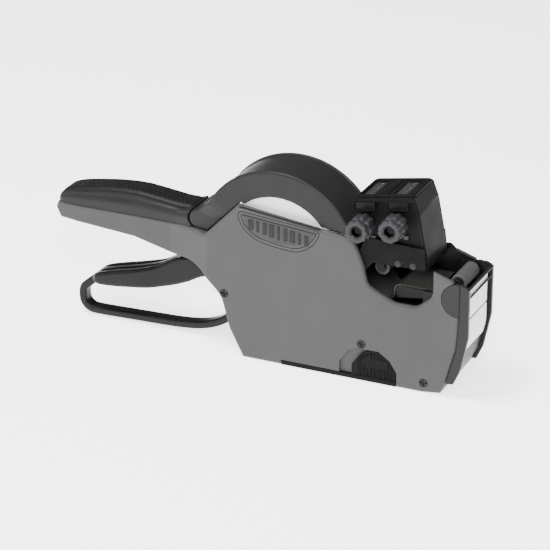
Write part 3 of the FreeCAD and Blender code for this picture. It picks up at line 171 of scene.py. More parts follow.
def drawn_steel():
    """Nickel-plated drawn wire and rod: bright, with fine lines along its length."""
    material, tree, shader, place = new_material("drawn_steel", Metallic=1.0)
    stretched = add(tree, "ShaderNodeMapping", {"Vector": place, "Scale": (1.0, 0.05, 1.0)}).outputs[0]
    tree.links.new(mottled(tree, stretched, 0.4, "#a8a9aa", "#c4c5c6"), shader.inputs["Base Color"])
    tree.links.new(roughness_drift(tree, stretched, 0.5, 0.18, 0.34), shader.inputs["Roughness"])
    return material


def black_oxide_steel():
    """Case-hardened screws with a black oxide finish: dark and oily, in slightly uneven patches."""
    material, tree, shader, place = new_material("black_oxide_steel", Metallic=1.0)
    tree.links.new(mottled(tree, place, 1.2, "#1b1b1c", "#333334"), shader.inputs["Base Color"])
    tree.links.new(roughness_drift(tree, place, 0.8, 0.25, 0.42), shader.inputs["Roughness"])
    return material


def soft_rubber(name, low_hex, high_hex):
    """Ground synthetic rubber: matt, with a fine ground grain."""
    material, tree, shader, place = new_material(name, IOR=1.52, Roughness=0.6, Specular_IOR_Level=0.2)
    tree.links.new(mottled(tree, place, 4, low_hex, high_hex), shader.inputs["Base Color"])
    tree.links.new(bumped(tree, grit(tree, place, 0.4), 0.03, 0.5), shader.inputs["Normal"])
    return material


def inked_felt():
    """Felt roller soaked with black ink: fibrous, wet in patches."""
    material, tree, shader, place = new_material("inked_felt", IOR=1.45)
    tree.links.new(mottled(tree, place, 1.5, "#0e0e12", "#1d1d22"), shader.inputs["Base Color"])
    tree.links.new(roughness_drift(tree, place, 2.0, 0.3, 0.8), shader.inputs["Roughness"])
    tree.links.new(bumped(tree, grit(tree, place, 0.25), 0.12, 0.8), shader.inputs["Normal"])
    return material


def coated_label_paper():
    """White coated paper: even and bright, with a faint fibre structure."""
    material, tree, shader, place = new_material("coated_label_paper", IOR=1.5, Roughness=0.7)
    tree.links.new(mottled(tree, place, 5, "#ececec", "#f6f6f6"), shader.inputs["Base Color"])
    tree.links.new(bumped(tree, grit(tree, place, 0.6), 0.01, 0.5), shader.inputs["Normal"])
    return material


def shade_darkened_glassine():
    """Silicone-coated glassine, thin and slightly glossy; its dull brown-grey is darkened as painted shade,
    so the web reads black inside the print gap.
    """
    material, tree, shader, place = new_material("shade_darkened_glassine", IOR=1.5, Roughness=0.4)
    # dark brown-grey: the paper's tone, darkened further as painted shade
    tree.links.new(mottled(tree, place, 3, "#2f2e2b", "#393834"), shader.inputs["Base Color"])
    return material


def wound_card():
    """Spirally wound grey-brown board: soft, matt and a little mottled."""
    material, tree, shader, place = new_material("wound_card", IOR=1.5, Roughness=0.85)
    tree.links.new(mottled(tree, place, 1.0, "#94897a", "#aca191"), shader.inputs["Base Color"])
    tree.links.new(bumped(tree, grit(tree, place, 0.3), 0.05, 0.6), shader.inputs["Normal"])
    return material


FINISH = {
    "shell_plastic": spark_textured_abs(),
    # finely blasted mould: a broad dull sheen on the arch and the handle's cap
    "dark_plastic": satin_plastic("blasted_dark_abs", "#1c1c1d", "#212122", 0.36, 0.46),
    # nearly polished mould: close to black, with the narrowest highlights of these plastics
    "trigger_plastic": satin_plastic("black_nylon", "#0c0c0d", "#101011", 0.26, 0.36),
    "grip_rubber": dimpled_grip_rubber(),
    # flat charcoal that hardly mirrors the floor
    "head_plastic": satin_plastic("charcoal_abs", "#101011", "#151516", 0.4, 0.5, 0.03),
    # greyer than the head, so the knobs stand out from it
    "knob_plastic": satin_plastic("grey_acetal", "#28282a", "#303032", 0.36, 0.46),
    # the blackest, for guides, levers and linings, and for the deck strip and gap plate that are painted
    # shade
    "inner_plastic": satin_plastic("plain_black_acetal", "#0a0a0b", "#0f0f10", 0.38, 0.5, 0.1),
    # smooth beside the shell's grain, and a shade darker
    "badge_plastic": satin_plastic("badge_abs", "#303031", "#363637", 0.34, 0.44),
    "lens_clear": clear_polycarbonate(),
    "steel": drawn_steel(),
    "screw_steel": black_oxide_steel(),
    "type_rubber": soft_rubber("type_rubber_compound", "#232324", "#2d2d2e"),
    "ink_felt": inked_felt(),
    "roller_rubber": soft_rubber("grey_roller_rubber", "#3c3c3d", "#464647"),
    "label_paper": coated_label_paper(),
    "backing_paper": shade_darkened_glassine(),
    "card": wound_card(),
}

for subpart in frame["record"]["subparts"]:
    mesh = frame["nodes"][subpart["node"]].data
    mesh.materials.clear()
    mesh.materials.append(FINISH[subpart["material_slot"]])

# moulded edges: weld the CAD triangles, then round every sharp edge by about this many mm
EDGE = {"right_shell": 0.4, "left_shell": 0.4, "head_case": 0.8, "head_yoke": 0.35, "front_door": 0.5,
        "base_cover": 0.3, "nose_frame": 0.3, "platen": 0.3}
WELD_GAP = 0.002                # mm
for node, radius in EDGE.items():
    holder = frame["nodes"][node]
    weld = holder.modifiers.new("weld", "WELD")
    weld.merge_threshold = WELD_GAP * MM
    bevel = holder.modifiers.new("edge", "BEVEL")
    bevel.width = radius * MM
    bevel.segments = 3
    bevel.limit_method = "ANGLE"
    bevel.angle_limit = math.radians(32)
    bevel.harden_normals = False

# ---- surface making ------------------------------------------------------------

def through(points, count, closed=False):
    """Catmull-Rom curve: count rows that pass through the given points, one cubic for each gap."""
    p = np.asarray(points, float)
    if closed:
        padded = np.vstack([p[-1:], p, p[:2]])
        gaps = len(p)
    else:
        padded = np.vstack([2 * p[:1] - p[1:2], p, 2 * p[-1:] - p[-2:-1]])
        gaps = len(p) - 1
    s = np.linspace(0, gaps, count, endpoint=not closed)
    i = np.minimum(s.astype(int), gaps - 1)
    f = (s - i)[:, None]
    a, b, c, e = padded[i], padded[i + 1], padded[i + 2], padded[i + 3]
    return 0.5 * (2 * b + (c - a) * f + (2 * a - 5 * b + 4 * c - e) * f**2 + (3 * b - a - 3 * c + e) * f**3)


def rounded(points, radius, steps=7):
    """Closed outline whose corners are cut off by short parabola arcs of about the given radius."""
    p = np.asarray(points, float)
    back, ahead = np.roll(p, 1, 0) - p, np.roll(p, -1, 0) - p
    back_length = np.linalg.norm(back, axis=1, keepdims=True)
    ahead_length = np.linalg.norm(ahead, axis=1, keepdims=True)
    start = p + back / back_length * np.minimum(radius, back_length * 0.45)
    end = p + ahead / ahead_length * np.minimum(radius, ahead_length * 0.45)
    s = np.linspace(0, 1, steps)[None, :, None]
    arcs = (1 - s)**2 * start[:, None] + 2 * s * (1 - s) * p[:, None] + s**2 * end[:, None]
    return arcs.reshape(-1, 2)


def outward(outline):
    """Unit normals that point out of a closed outline, from the chord between each point's neighbours."""
    run = np.roll(outline, -1, 0) - np.roll(outline, 1, 0)
    run /= np.maximum(np.linalg.norm(run, axis=1, keepdims=True), 1e-12)
    x, z = outline.T
    area = np.sum(x * np.roll(z, -1) - np.roll(x, -1) * z)
    return np.stack([run[:, 1], -run[:, 0]], 1) * np.sign(area)


def put(name, rings, slot, body, stands_for=(), looped=False, sharp=40):
    """Closed skin over rings, an array (rings, around, 3) in mm: quads between neighbouring rings, and a flat
    lid on each end unless the rings come round to the start. The volume's sign turns the faces outwards."""
    count, around = rings.shape[:2]
    row, column = np.meshgrid(np.arange(count if looped else count - 1), np.arange(around), indexing="ij")
    row_up, column_up = (row + 1) % count, (column + 1) % around
    quads = np.stack([row * around + column, row * around + column_up,
                      row_up * around + column_up, row_up * around + column], -1).reshape(-1, 4)
    faces = quads.tolist()
    if not looped:
        faces += [list(range(around - 1, -1, -1)), list(range((count - 1) * around, count * around))]
    p = rings.reshape(-1, 3) * MM
    corners = [p[quads[:, step]] for step in range(4)]
    volume = sum(np.sum(corners[0] * np.cross(corners[step], corners[step + 1])) for step in (1, 2))
    if not looped:
        for lid, turn in ((rings[0] * MM, -1), (rings[-1] * MM, 1)):
            volume += turn * np.sum(lid[0] * np.cross(lid[1:-1], lid[2:]))
    mesh = bpy.data.meshes.new(name)
    mesh.from_pydata(p.tolist(), [], faces)
    if volume < 0:
        mesh.flip_normals()
    mesh.shade_smooth()
    mesh.set_sharp_from_angle(angle=math.radians(sharp))
    mesh.materials.append(FINISH[slot])
    piece = bpy.data.objects.new(name, mesh)
    bpy.context.scene.collection.objects.link(piece)
    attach(piece, body)
    if stands_for:
        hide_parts(*stands_for)
    return piece


def plate(name, outline, y_near, y_far, edge, slot, body, stands_for=()):
    """Plate with a side-view outline (x, z) in mm from y_near to y_far. Its edges are quarter circles: at
    each end, as a goes from 0 to 90 degrees, the outline is drawn in by edge * (1 - sin a) while y has
    moved by edge * (1 - cos a)."""
    normals = outward(outline)
    turn = np.radians([0, 30, 60, 90])
    inset = edge * (1 - np.sin(turn))
    depth = edge * (1 - np.cos(turn))
    near = [(y_near + step_y, step_in) for step_y, step_in in zip(depth, inset)]
    far = [(y_far - step_y, step_in) for step_y, step_in in zip(depth[::-1], inset[::-1])]
    rings = []
    for y, draw in near + far:
        flat = outline - normals * draw
        rings.append(np.stack([flat[:, 0], np.full(len(flat), y), flat[:, 1]], 1))
    return put(name, np.array(rings), slot, body, stands_for)


def turned(name, across, up, profile, slot, body, stands_for=(), lobes=0, bored=False, around=96):
    """Turned piece about an axis along Y: profile rows are (y, radius, flute depth); lobes flutes are cut
    round it as depth * ((1 - cos(lobes * angle)) / 2)^1.4."""
    profile = np.asarray(profile, float)
    angle = np.linspace(0, 2 * math.pi, around, endpoint=False)[None, :]
    y, radius, depth = (profile[:, step][:, None] for step in range(3))
    reach = radius - depth * ((1 - np.cos(lobes * angle)) / 2)**1.4
    rings = np.stack([across + reach * np.cos(angle), y + 0 * angle, up + reach * np.sin(angle)], -1)
    return put(name, rings, slot, body, stands_for, looped=bored, sharp=35)


def band(name, path, half, thick, slot, body, stands_for=(), looped=False, power=5.0):
    """Strip bent along a side-view path (x, z): a superellipse section, |a/half|^power + |b/thick|^power = 1,
    with b along the path's normal and a along Y."""
    path = np.asarray(path, float)
    run = np.gradient(path, axis=0)
    if looped:
        run = np.roll(path, -1, 0) - np.roll(path, 1, 0)
    run /= np.linalg.norm(run, axis=1, keepdims=True)
    normal = np.stack([run[:, 1], -run[:, 0]], 1)
    turn = np.linspace(0, 2 * math.pi, 40, endpoint=False)
    wide = np.sign(np.cos(turn)) * np.abs(np.cos(turn))**(2 / power)
    tall = np.sign(np.sin(turn)) * np.abs(np.sin(turn))**(2 / power)
    half = np.broadcast_to(half, len(path))[:, None]
    thick = np.broadcast_to(thick, len(path))[:, None] / 2
    x = path[:, :1] + normal[:, :1] * tall * thick
    z = path[:, 1:] + normal[:, 1:] * tall * thick
    return put(name, np.stack([x, wide * half, z], -1), slot, body, stands_for, looped)


def bar_rings(x, low, high, half, corner_y, corner_top, corner_low, relief=None, samples=61):
    """Sections of a long bar along X: flat top and bottom whose edges fall away as quarter ellipses,
    drop = corner * (1 - sqrt(1 - e^2)), e being how far y has gone into the corner. relief(x, y) sinks
    the top."""
    s = np.sin(np.linspace(-math.pi / 2, math.pi / 2, samples))[None, :]
    x, low, high, half = (np.asarray(value, float)[:, None] for value in (x, low, high, half))
    y = half * s
    corner_y, corner_top, corner_low = (np.broadcast_to(value, (len(x), 1)) if np.ndim(value) == 0
                                        else np.asarray(value)[:, None]
                                        for value in (corner_y, corner_top, corner_low))
    into = np.clip((np.abs(y) - (half - corner_y)) / corner_y, 0, 1)
    fall = 1 - np.sqrt(np.maximum(0, 1 - into**2))
    top = high - corner_top * fall
    if relief is not None:
        top = top - relief(x, y) * (into < 0.999)
    bottom = low + corner_low * fall
    wide_x = x + 0 * y
    upper = np.stack([wide_x, y, top], -1)
    lower = np.stack([wide_x, y, bottom], -1)[:, ::-1]
    return np.concatenate([upper, lower], 1)


def in_mm(node):
    """Lowest and highest corner of a CAD node, in mm."""
    low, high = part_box(node)
    return np.array(low) / MM, np.array(high) / MM


# ---- trigger --------------------------------------------------------------------

def make_trigger():
    """Finger bar with two lengthwise grooves, the slim loop under it, and the pivot hub."""
    pin_low, pin_high = in_mm("trigger_pin")
    pivot = (pin_low + pin_high) / 2
    px, pz = pivot[0], pivot[2]
    rear, _, low = in_mm("trigger")[0]
    # (x, underside, top, half width)
    stations = through([
        (px - 83.0, pz - 11.6, pz - 11.0, 4.2), (px - 81.7, pz - 13.2, pz - 9.2, 6.6),
        (px - 78.4, pz - 14.0, pz - 7.3, 7.8), (px - 69.4, pz - 13.5, pz - 4.7, 8.0),
        (px - 60.4, pz - 12.4, pz - 2.5, 8.0), (px - 50.4, pz - 11.2, pz + 0.4, 7.4),
        (px - 43.0, pz - 9.6, pz + 3.2, 6.2), (px - 34.4, pz - 7.0, pz + 8.0, 5.8),
        (px - 27.0, pz - 3.9, pz + 10.6, 5.8), (px - 17.0, pz + 0.8, pz + 10.6, 5.8),
        (px - 8.0, pz - 1.6, pz + 6.2, 5.8), (px - 1.0, pz - 4.6, pz + 4.6, 5.8)], 150)
    x, under, top, half = stations.T

    def grooves(x, y):
        """Two round grooves along the bar, depth * exp(-((|y| - offset) / width)^2), faded at both ends."""
        depth, offset, width = 0.9, 2.9, 0.85
        fade = np.clip((x - (px - 80)) / 5, 0, 1) * np.clip((px - 32 - x) / 8, 0, 1)
        return depth * fade * np.exp(-((np.abs(y) - offset) / width)**2)

    height = top - under
    rings = bar_rings(x, under, top, half, np.minimum(1.8, half * 0.4), np.minimum(1.8, height * 0.45),
                      np.minimum(2.2, height * 0.45), grooves)
    put("finger_bar", rings, "trigger_plastic", "trigger", ["trigger"])
    middle = through([
        (px - 76, pz - 10.6), (px - 81.6, pz - 12.2), (px - 86.6, pz - 16.2), (rear + 2.5, low + 13.6),
        (rear + 2.4, low + 7.0), (rear + 5.6, low + 3.1), (rear + 11.5, low + 2.2), (px - 60, low + 2.7),
        (px - 33, low + 3.6), (px - 19, low + 5.6), (px - 9, low + 9.6), (px - 2.6, low + 15.2),
        (px - 0.8, low + 22), (px - 0.6, low + 29)], 170)
    loop_half_width, loop_thick = 3.5, 4.3
    band("finger_loop", middle, loop_half_width, loop_thick, "trigger_plastic", "trigger")
    hub, bore, core = 6.4, 3.05, 5.8       # outer and inner radius, and half the length
    turned("trigger_hub", px, pz, [(-core, bore, 0), (-core, hub - 0.5, 0), (-core + 0.5, hub, 0),
                                   (core - 0.5, hub, 0), (core, hub - 0.5, 0), (core, bore, 0)],
           "trigger_plastic", "trigger", bored=True)


# ---- handle and roll cover ----------------------------------------------------------

hinge_low, hinge_high = in_mm("cover_hinge_pin")
HINGE = (hinge_low + hinge_high) / 2
cap_low = in_mm("handle_top")[0]
SOCKET = 6.1                   # radius of the hollow end of the handle that the cover's barrel turns in


def cap_line(count):
    """Top line of the handle's cap as (x, z, half width), from its tip to the hinge."""
    tip, seam, front = cap_low[0], cap_low[2], HINGE[0] - 1.2
    return through([
        (tip, seam + 3.0, 7.4), (tip + 1.2, seam + 4.6, 8.8), (tip + 4.5, seam + 6.0, 9.6),
        (tip + 14, seam + 7.3, 10), (tip + 30, seam + 8.6, 10), (tip + 44, seam + 9.2, 10),
        (front - 34, seam + 9.3, 10), (front - 22, seam + 8.5, 10.2), (front - 13, seam + 7.8, 10.8),
        (front - 7, seam + 7.9, 11.6), (front - 2.5, seam + 8.7, 12.1), (front, seam + 9.3, 12.2)], count)


def make_handle_cap():
    """Upper half of the handle, ending in a hollow round the hinge barrel: its last stretch in x is
    lengthened or shortened, in proportion, to end on that arc."""
    last_stretch = 12
    x, top, half = cap_line(130).T
    seam = np.full(len(x), cap_low[2])
    rings = bar_rings(x, seam, top, half, 3.4, (top - seam) * 0.62, 0.05)
    front, from_x = x[-1], x[-1] - last_stretch
    height = rings[..., 2] - HINGE[2]
    reach = HINGE[0] - np.sqrt(np.maximum(0.0, SOCKET**2 - height**2))
    stretch = (reach - from_x) / (front - from_x)
    along = rings[..., 0]
    rings[..., 0] = np.where(along > from_x, from_x + (along - from_x) * stretch, along)
    put("handle_cap", rings, "dark_plastic", "housing", ["handle_top"], sharp=50)


def make_grip():
    """Crowned rubber pad on the cap with staggered round dimples."""
    line = cap_line(400)
    tip, front = cap_low[0] + 1.6, HINGE[0] - 5.0
    x = np.linspace(tip, front, 210)
    base = np.interp(x, line[:, 0], line[:, 1])
    along = (x - tip) / (front - tip)
    ends = np.clip(np.minimum(along / 0.16, (1 - along) / 0.05), 0, 1)
    swell = np.sqrt(1 - (1 - ends)**2)
    rise = np.interp(along, [0, 0.12, 0.35, 0.5, 1], [1.3, 1.6, 2.8, 3.2, 1.6]) * swell + 0.15
    half = 8.3 * (0.72 + 0.28 * swell)

    def dimples(x, y):
        """Rows of round dimples: depth * max(0, 1 - (r / radius)^2) on a staggered grid."""
        pitch, radius, depth, margin = 2.6, 0.8, 0.35, 3
        row = np.round(y / (pitch * 0.87))
        shift = np.mod(row, 2) * pitch / 2
        dx = np.mod(x - shift + pitch / 2, pitch) - pitch / 2
        dy = y - row * pitch * 0.87
        inside = (np.abs(y) < 6.6) * (x > tip + margin) * (x < front - margin)
        return depth * inside * np.maximum(0, 1 - (dx**2 + dy**2) / radius**2)

    rings = bar_rings(x, base - 2.0, base + rise, half, 3.0, np.minimum(rise + 0.8, 2.6), 0.1, dimples, 81)
    put("grip_skin", rings, "grip_rubber", "housing", ["grip_pad"], sharp=50)


def make_arch():
    """Roll cover swept round the roll's centre. Section in (y, distance from the centre): a skin with a bead
    along each edge and a rim down each side; the rim ends where the housing's sloping top begins. At the rear
    the outer radius follows the hinge barrel: reach * cos(off) + sqrt(barrel^2 - (reach * sin(off))^2)."""
    roll_low, roll_high = in_mm("label_roll")
    centre = (roll_low + roll_high) / 2
    hinge = np.array([HINGE[0] - centre[0], HINGE[2] - centre[2]])
    hinge_reach, hinge_angle = np.hypot(*hinge), math.atan2(hinge[1], hinge[0])
    outer_radius, rim_radius, skin, wall, barrel = 44.0, 30.3, 2.2, 1.7, 5.2
    front_end, rear_end = 21.9, 172.8
    angle = np.radians(np.concatenate([np.linspace(front_end, 150, 130), np.linspace(150.6, rear_end, 60)]))
    degrees = np.degrees(angle)
    # fairing: outer radius swells from the arch to the hinge barrel
    swell = np.interp(degrees, [148, 151, 154, 158, 162, 165], [outer_radius, 44.2, 45.1, 46.6, 48.2, 49.4])
    off = angle - hinge_angle
    inside = np.abs(np.sin(off)) < barrel / hinge_reach
    chord = np.sqrt(np.maximum(0, barrel**2 - (hinge_reach * np.sin(off))**2))
    round_end = np.where(inside & (np.abs(off) < 0.3), hinge_reach * np.cos(off) + chord, 0)
    outer = np.where(angle > hinge_angle, round_end, np.maximum(swell, round_end))

    def cut(first, second):
        """Distance from the centre, along each angle, to the straight line through two points."""
        (ax, az), (bx, bz) = first, second
        return (ax * bz - az * bx) / ((bz - az) * np.cos(angle) - (bx - ax) * np.sin(angle))

    # rim's lower edge: circle, cut by the housing's top in front and by its shoulder at the rear
    deck_rear = np.array([-20.5, 24.8])
    front_line = cut((25.2, 18.9), (43.0, 16.1))
    rear_line = cut(deck_rear + (0.1, -0.25), (-40.1, 5.1))
    deck_line = np.abs(cut(deck_rear + (0, -0.1), (25.2, 18.7)))
    low = np.where(degrees < 60, np.maximum(rim_radius, front_line), rim_radius)
    low = np.where((degrees > 36.1) & (degrees < 129.6), np.maximum(rim_radius, deck_line), low)
    low = np.where(degrees >= 129.6, np.maximum(rim_radius, np.abs(rear_line)), low)
    low = np.minimum(low, outer - 0.9)
    half = np.interp(degrees, [0, 147, 152, 157, 162, 180], [15.0, 15.0, 14.6, 13.6, 12.5, 12.1])
    samples = 81
    s = np.sin(np.linspace(-math.pi / 2, math.pi / 2, samples))[None, :]
    y = half[:, None] * s
    corner = np.minimum(1.5, (outer - low) * 0.4)[:, None]
    into = np.clip((np.abs(y) - (half[:, None] - corner)) / corner, 0, 1)
    top = outer[:, None] - corner * (1 - np.sqrt(1 - into**2))
    # bead: the skin lies bead_height lower than its edges, up to where the bead fades out at the rear
    bead_width, bead_height = 1.8, 0.75
    from_edge = half[:, None] - np.abs(y)
    tail = np.clip((150 - degrees) / 20, 0, 1)[:, None]
    step = bead_height * tail * np.clip((from_edge - bead_width) / 0.45, 0, 1)
    # finger ridges beside the print head: rib_depth * (1 + cos(2 pi y / rib_pitch)) / 2
    rib_depth, rib_pitch, rib_reach = 0.4, 2.7, 9.5
    near_head = np.clip((degrees - 24) / 4, 0, 1) * np.clip((62 - degrees) / 14, 0, 1)
    wave = 0.5 + 0.5 * np.cos(2 * math.pi * y / rib_pitch)
    ribs = rib_depth * near_head[:, None] * wave * (np.abs(y) < rib_reach)
    top = top - step - ribs
    inner = np.maximum(outer_radius - skin, low + 0.3)[:, None]
    low, half = low[:, None], half[:, None]
    soft = np.minimum(0.4, (inner - low) * 0.4)
    under_y = np.concatenate([half, half - soft, half - wall + soft, half - wall, half - wall - 0.01], 1)
    under_r = np.concatenate([low + soft, low, low, low + soft, inner], 1)
    ring_y = np.concatenate([y, under_y, -under_y[:, ::-1]], 1)
    ring_r = np.concatenate([top, under_r, under_r[:, ::-1]], 1)
    x = centre[0] + ring_r * np.cos(angle)[:, None]
    z = centre[2] + ring_r * np.sin(angle)[:, None]
    put("arch_cover", np.stack([x, ring_y, z], -1), "dark_plastic", "roll_cover", ["roll_cover"], sharp=38)


# ---- selector knobs, rollers ----------------------------------------------------------

def make_knob(name):
    """Knob with a collar of shallow flats, a neck, a body of shallow flutes, and a round socket in its end
    lined with a steel bush."""
    low, high = in_mm(name)
    across, up = (low[0] + high[0]) / 2, (low[2] + high[2]) / 2
    near, far = low[1], high[1]
    radius, socket = (high[0] - low[0]) / 2, 3.3
    turned(name + "_fluted", across, up, [
        (near + 4.8, 1.9, 0), (near + 4.8, socket - 0.3, 0), (near + 4.4, socket, 0), (near + 0.5, socket, 0),
        (near + 0.1, socket + 0.4, 0), (near, socket + 0.8, 0), (near, radius - 1.3, 0.2),
        (near + 0.15, radius - 0.8, 0.3), (near + 0.6, radius - 0.45, 0.35),
        (near + 3.0, radius - 0.45, 0.35), (near + 3.4, radius - 0.7, 0.35),
        (near + 3.7, radius - 1.3, 0.3), (near + 4.1, radius - 1.3, 0.3),
        (near + 4.5, radius - 0.5, 0.7), (near + 5.1, radius, 0.95), (far - 0.9, radius, 0.95),
        (far - 0.3, radius - 0.4, 0.8), (far, radius - 1.1, 0.5), (far, 2.2, 0)],
        "knob_plastic", name.replace("knob", "selector"), [name], lobes=9, around=180)
    turned(name + "_bush", across, up, [
        (near + 0.7, socket - 0.65, 0), (near + 0.55, socket - 0.45, 0), (near + 0.55, socket - 0.2, 0),
        (near + 0.7, socket - 0.02, 0), (near + 4.3, socket - 0.02, 0), (near + 4.3, socket - 0.65, 0)],
        "screw_steel", name.replace("knob", "selector"), bored=True)


def make_applicator():
    """Plain rubber tyre on a thinner core."""
    low, high = in_mm("applicator_roller")
    across, up = (low[0] + high[0]) / 2, (low[2] + high[2]) / 2
    radius, end, tyre = (high[0] - low[0]) / 2, high[1], 9.5
    turned("applicator_tyre", across, up, [
        (-tyre, radius - 1.3, 0), (-tyre, radius - 0.3, 0), (-tyre + 0.3, radius, 0), (tyre - 0.3, radius, 0),
        (tyre, radius - 0.3, 0), (tyre, radius - 1.3, 0)], "roller_rubber", "applicator_roller", bored=True)
    turned("applicator_core", across, up, [
        (-end, 1.55, 0), (-end, radius - 1.5, 0), (-end + 0.3, radius - 1.2, 0), (end - 0.3, radius - 1.2, 0),
        (end, radius - 1.5, 0), (end, 1.55, 0)], "inner_plastic", "applicator_roller",
        ["applicator_roller"], bored=True)


# ---- badge and latch --------------------------------------------------------------------

def make_badge():
    """D-shaped plate under the roll cover with a dark border line and a row of plain upright bars, and a
    black strip along the deck above it, as painted shadow of the gap between the housing and the roll."""
    low, high = in_mm("badge_plate")
    face = low[1] - 0.05
    outline = rounded([
        (-54.6, 81.2), (-54.2, 75.6), (-50.2, 70.4), (-44.4, 66.6), (-34.3, 64.7), (-22.8, 63.7),
        (-16.2, 66.6), (-11.4, 71.6), (-9.2, 77.2)], 3.5)
    plate("badge_face", outline, face, high[1] + 0.2, 0.2, "badge_plastic", "housing", ["badge_plate"])
    normals = outward(outline)
    for name, outer in (("badge_groove", 0.25), ("badge_border", -1.5)):
        rings = []
        for draw, y in ((0.5, face + 0.2), (0.45, face - 0.05), (0.3, face - 0.12), (0.2, face - 0.12),
                        (0.05, face - 0.05), (0.0, face + 0.2)):
            flat = outline + normals * (outer - draw)
            rings.append(np.stack([flat[:, 0], np.full(len(flat), y), flat[:, 1]], 1))
        put(name, np.array(rings), "inner_plastic", "housing", looped=True)
    count, left, right = 9, -47.5, -17.0
    for step in range(count):
        x = left + (right - left) * step / (count - 1)
        wide = (1.5, 0.8, 1.1)[step % 3]
        middle = 74.6 - 0.12 * (x - left)
        tall = 3.9 - 0.5 * abs(step - (count - 1) / 2) / 2
        plate(f"badge_bar_{step}", rounded([(x - wide, middle - tall), (x + wide, middle - tall),
                                            (x + wide, middle + tall), (x - wide, middle + tall)], 0.7),
              face - 0.35, face + 0.3, 0.2, "dark_plastic", "housing")
    # black strip along the deck: painted shadow of the gap between the shell and the label roll
    deck_shadow_outline = rounded([(-53.9, 83.9), (-53.6, 82.7), (-9.6, 77.9), (-9.2, 78.9)], 0.3)
    plate("deck_shadow_strip", deck_shadow_outline, face - 0.05, face + 0.4, 0.1, "inner_plastic", "housing")


def make_latch():
    """Latch: a grip ear on each side with upright ribs round a smooth arrow, joined by a cross plate. The
    ribs are rib_depth * (1 - cos(2 pi x / rib_pitch)) / 2 deep."""
    rib_depth, rib_pitch, ear_thick = 0.6, 1.9, 1.2
    low, high = in_mm("base_latch")
    rear, front, top = low[0], high[0], high[2]
    bottom, out = low[2], high[1]
    x = np.linspace(rear, front, 320)
    crown = np.interp(x, [rear, rear + 5, rear + 10, front - 10, front - 4, front],
                      [top - 9, top - 2, top, top, top - 4, top - 10])
    crown = np.convolve(np.pad(crown, 4, mode="edge"), np.ones(9) / 9, "valid")
    share = np.linspace(0, 1, 60)[:, None]
    z = bottom + (crown - bottom)[None, :] * share
    grid_x = x[None, :] + 0 * z
    mid_z, tip_x, shaft_x, shaft_half = bottom + 8.0, rear + 4.2, rear + 4.2 + 6.4, 2.5
    head = (grid_x > tip_x) & (grid_x < shaft_x) & (np.abs(z - mid_z) < (grid_x - tip_x) * 0.78)
    shaft = (grid_x >= shaft_x) & (grid_x < front - 4.6) & (np.abs(z - mid_z) < shaft_half)
    near_edge = (crown - 0.9 < z) | (share < 0.03)
    ribbed = (grid_x > rear + 3.4) & ~head & ~shaft & ~near_edge
    wave = 0.5 - 0.5 * np.cos(2 * math.pi * (grid_x - rear) / rib_pitch)
    relief = np.where(ribbed, rib_depth * wave, 0.0)
    for label, side in (("right", -1), ("left", 1)):
        face = np.stack([grid_x, side * (out - relief), z], -1)
        behind = np.stack([grid_x, side * (out - ear_thick + 0 * z), z], -1)[::-1]
        rings = np.concatenate([face, behind], 0).transpose(1, 0, 2)
        put(f"latch_ear_{label}", rings, "head_plastic", "base_latch", ["base_latch"], sharp=60)
    cover_thick, clearance, cross_thick, side_gap = 2.3, 0.3, 2.6, 1.3
    cross = in_mm("base_cover")[0][2] + cover_thick + clearance
    start = rear + 7.8
    plate("latch_cross_plate", rounded([(start, cross), (front, cross), (front, cross + cross_thick),
                                        (start, cross + cross_thick)], 0.4),
          -out + side_gap, out - side_gap, 0.2, "head_plastic", "base_latch")


# ---- print head trim ----------------------------------------------------------------------

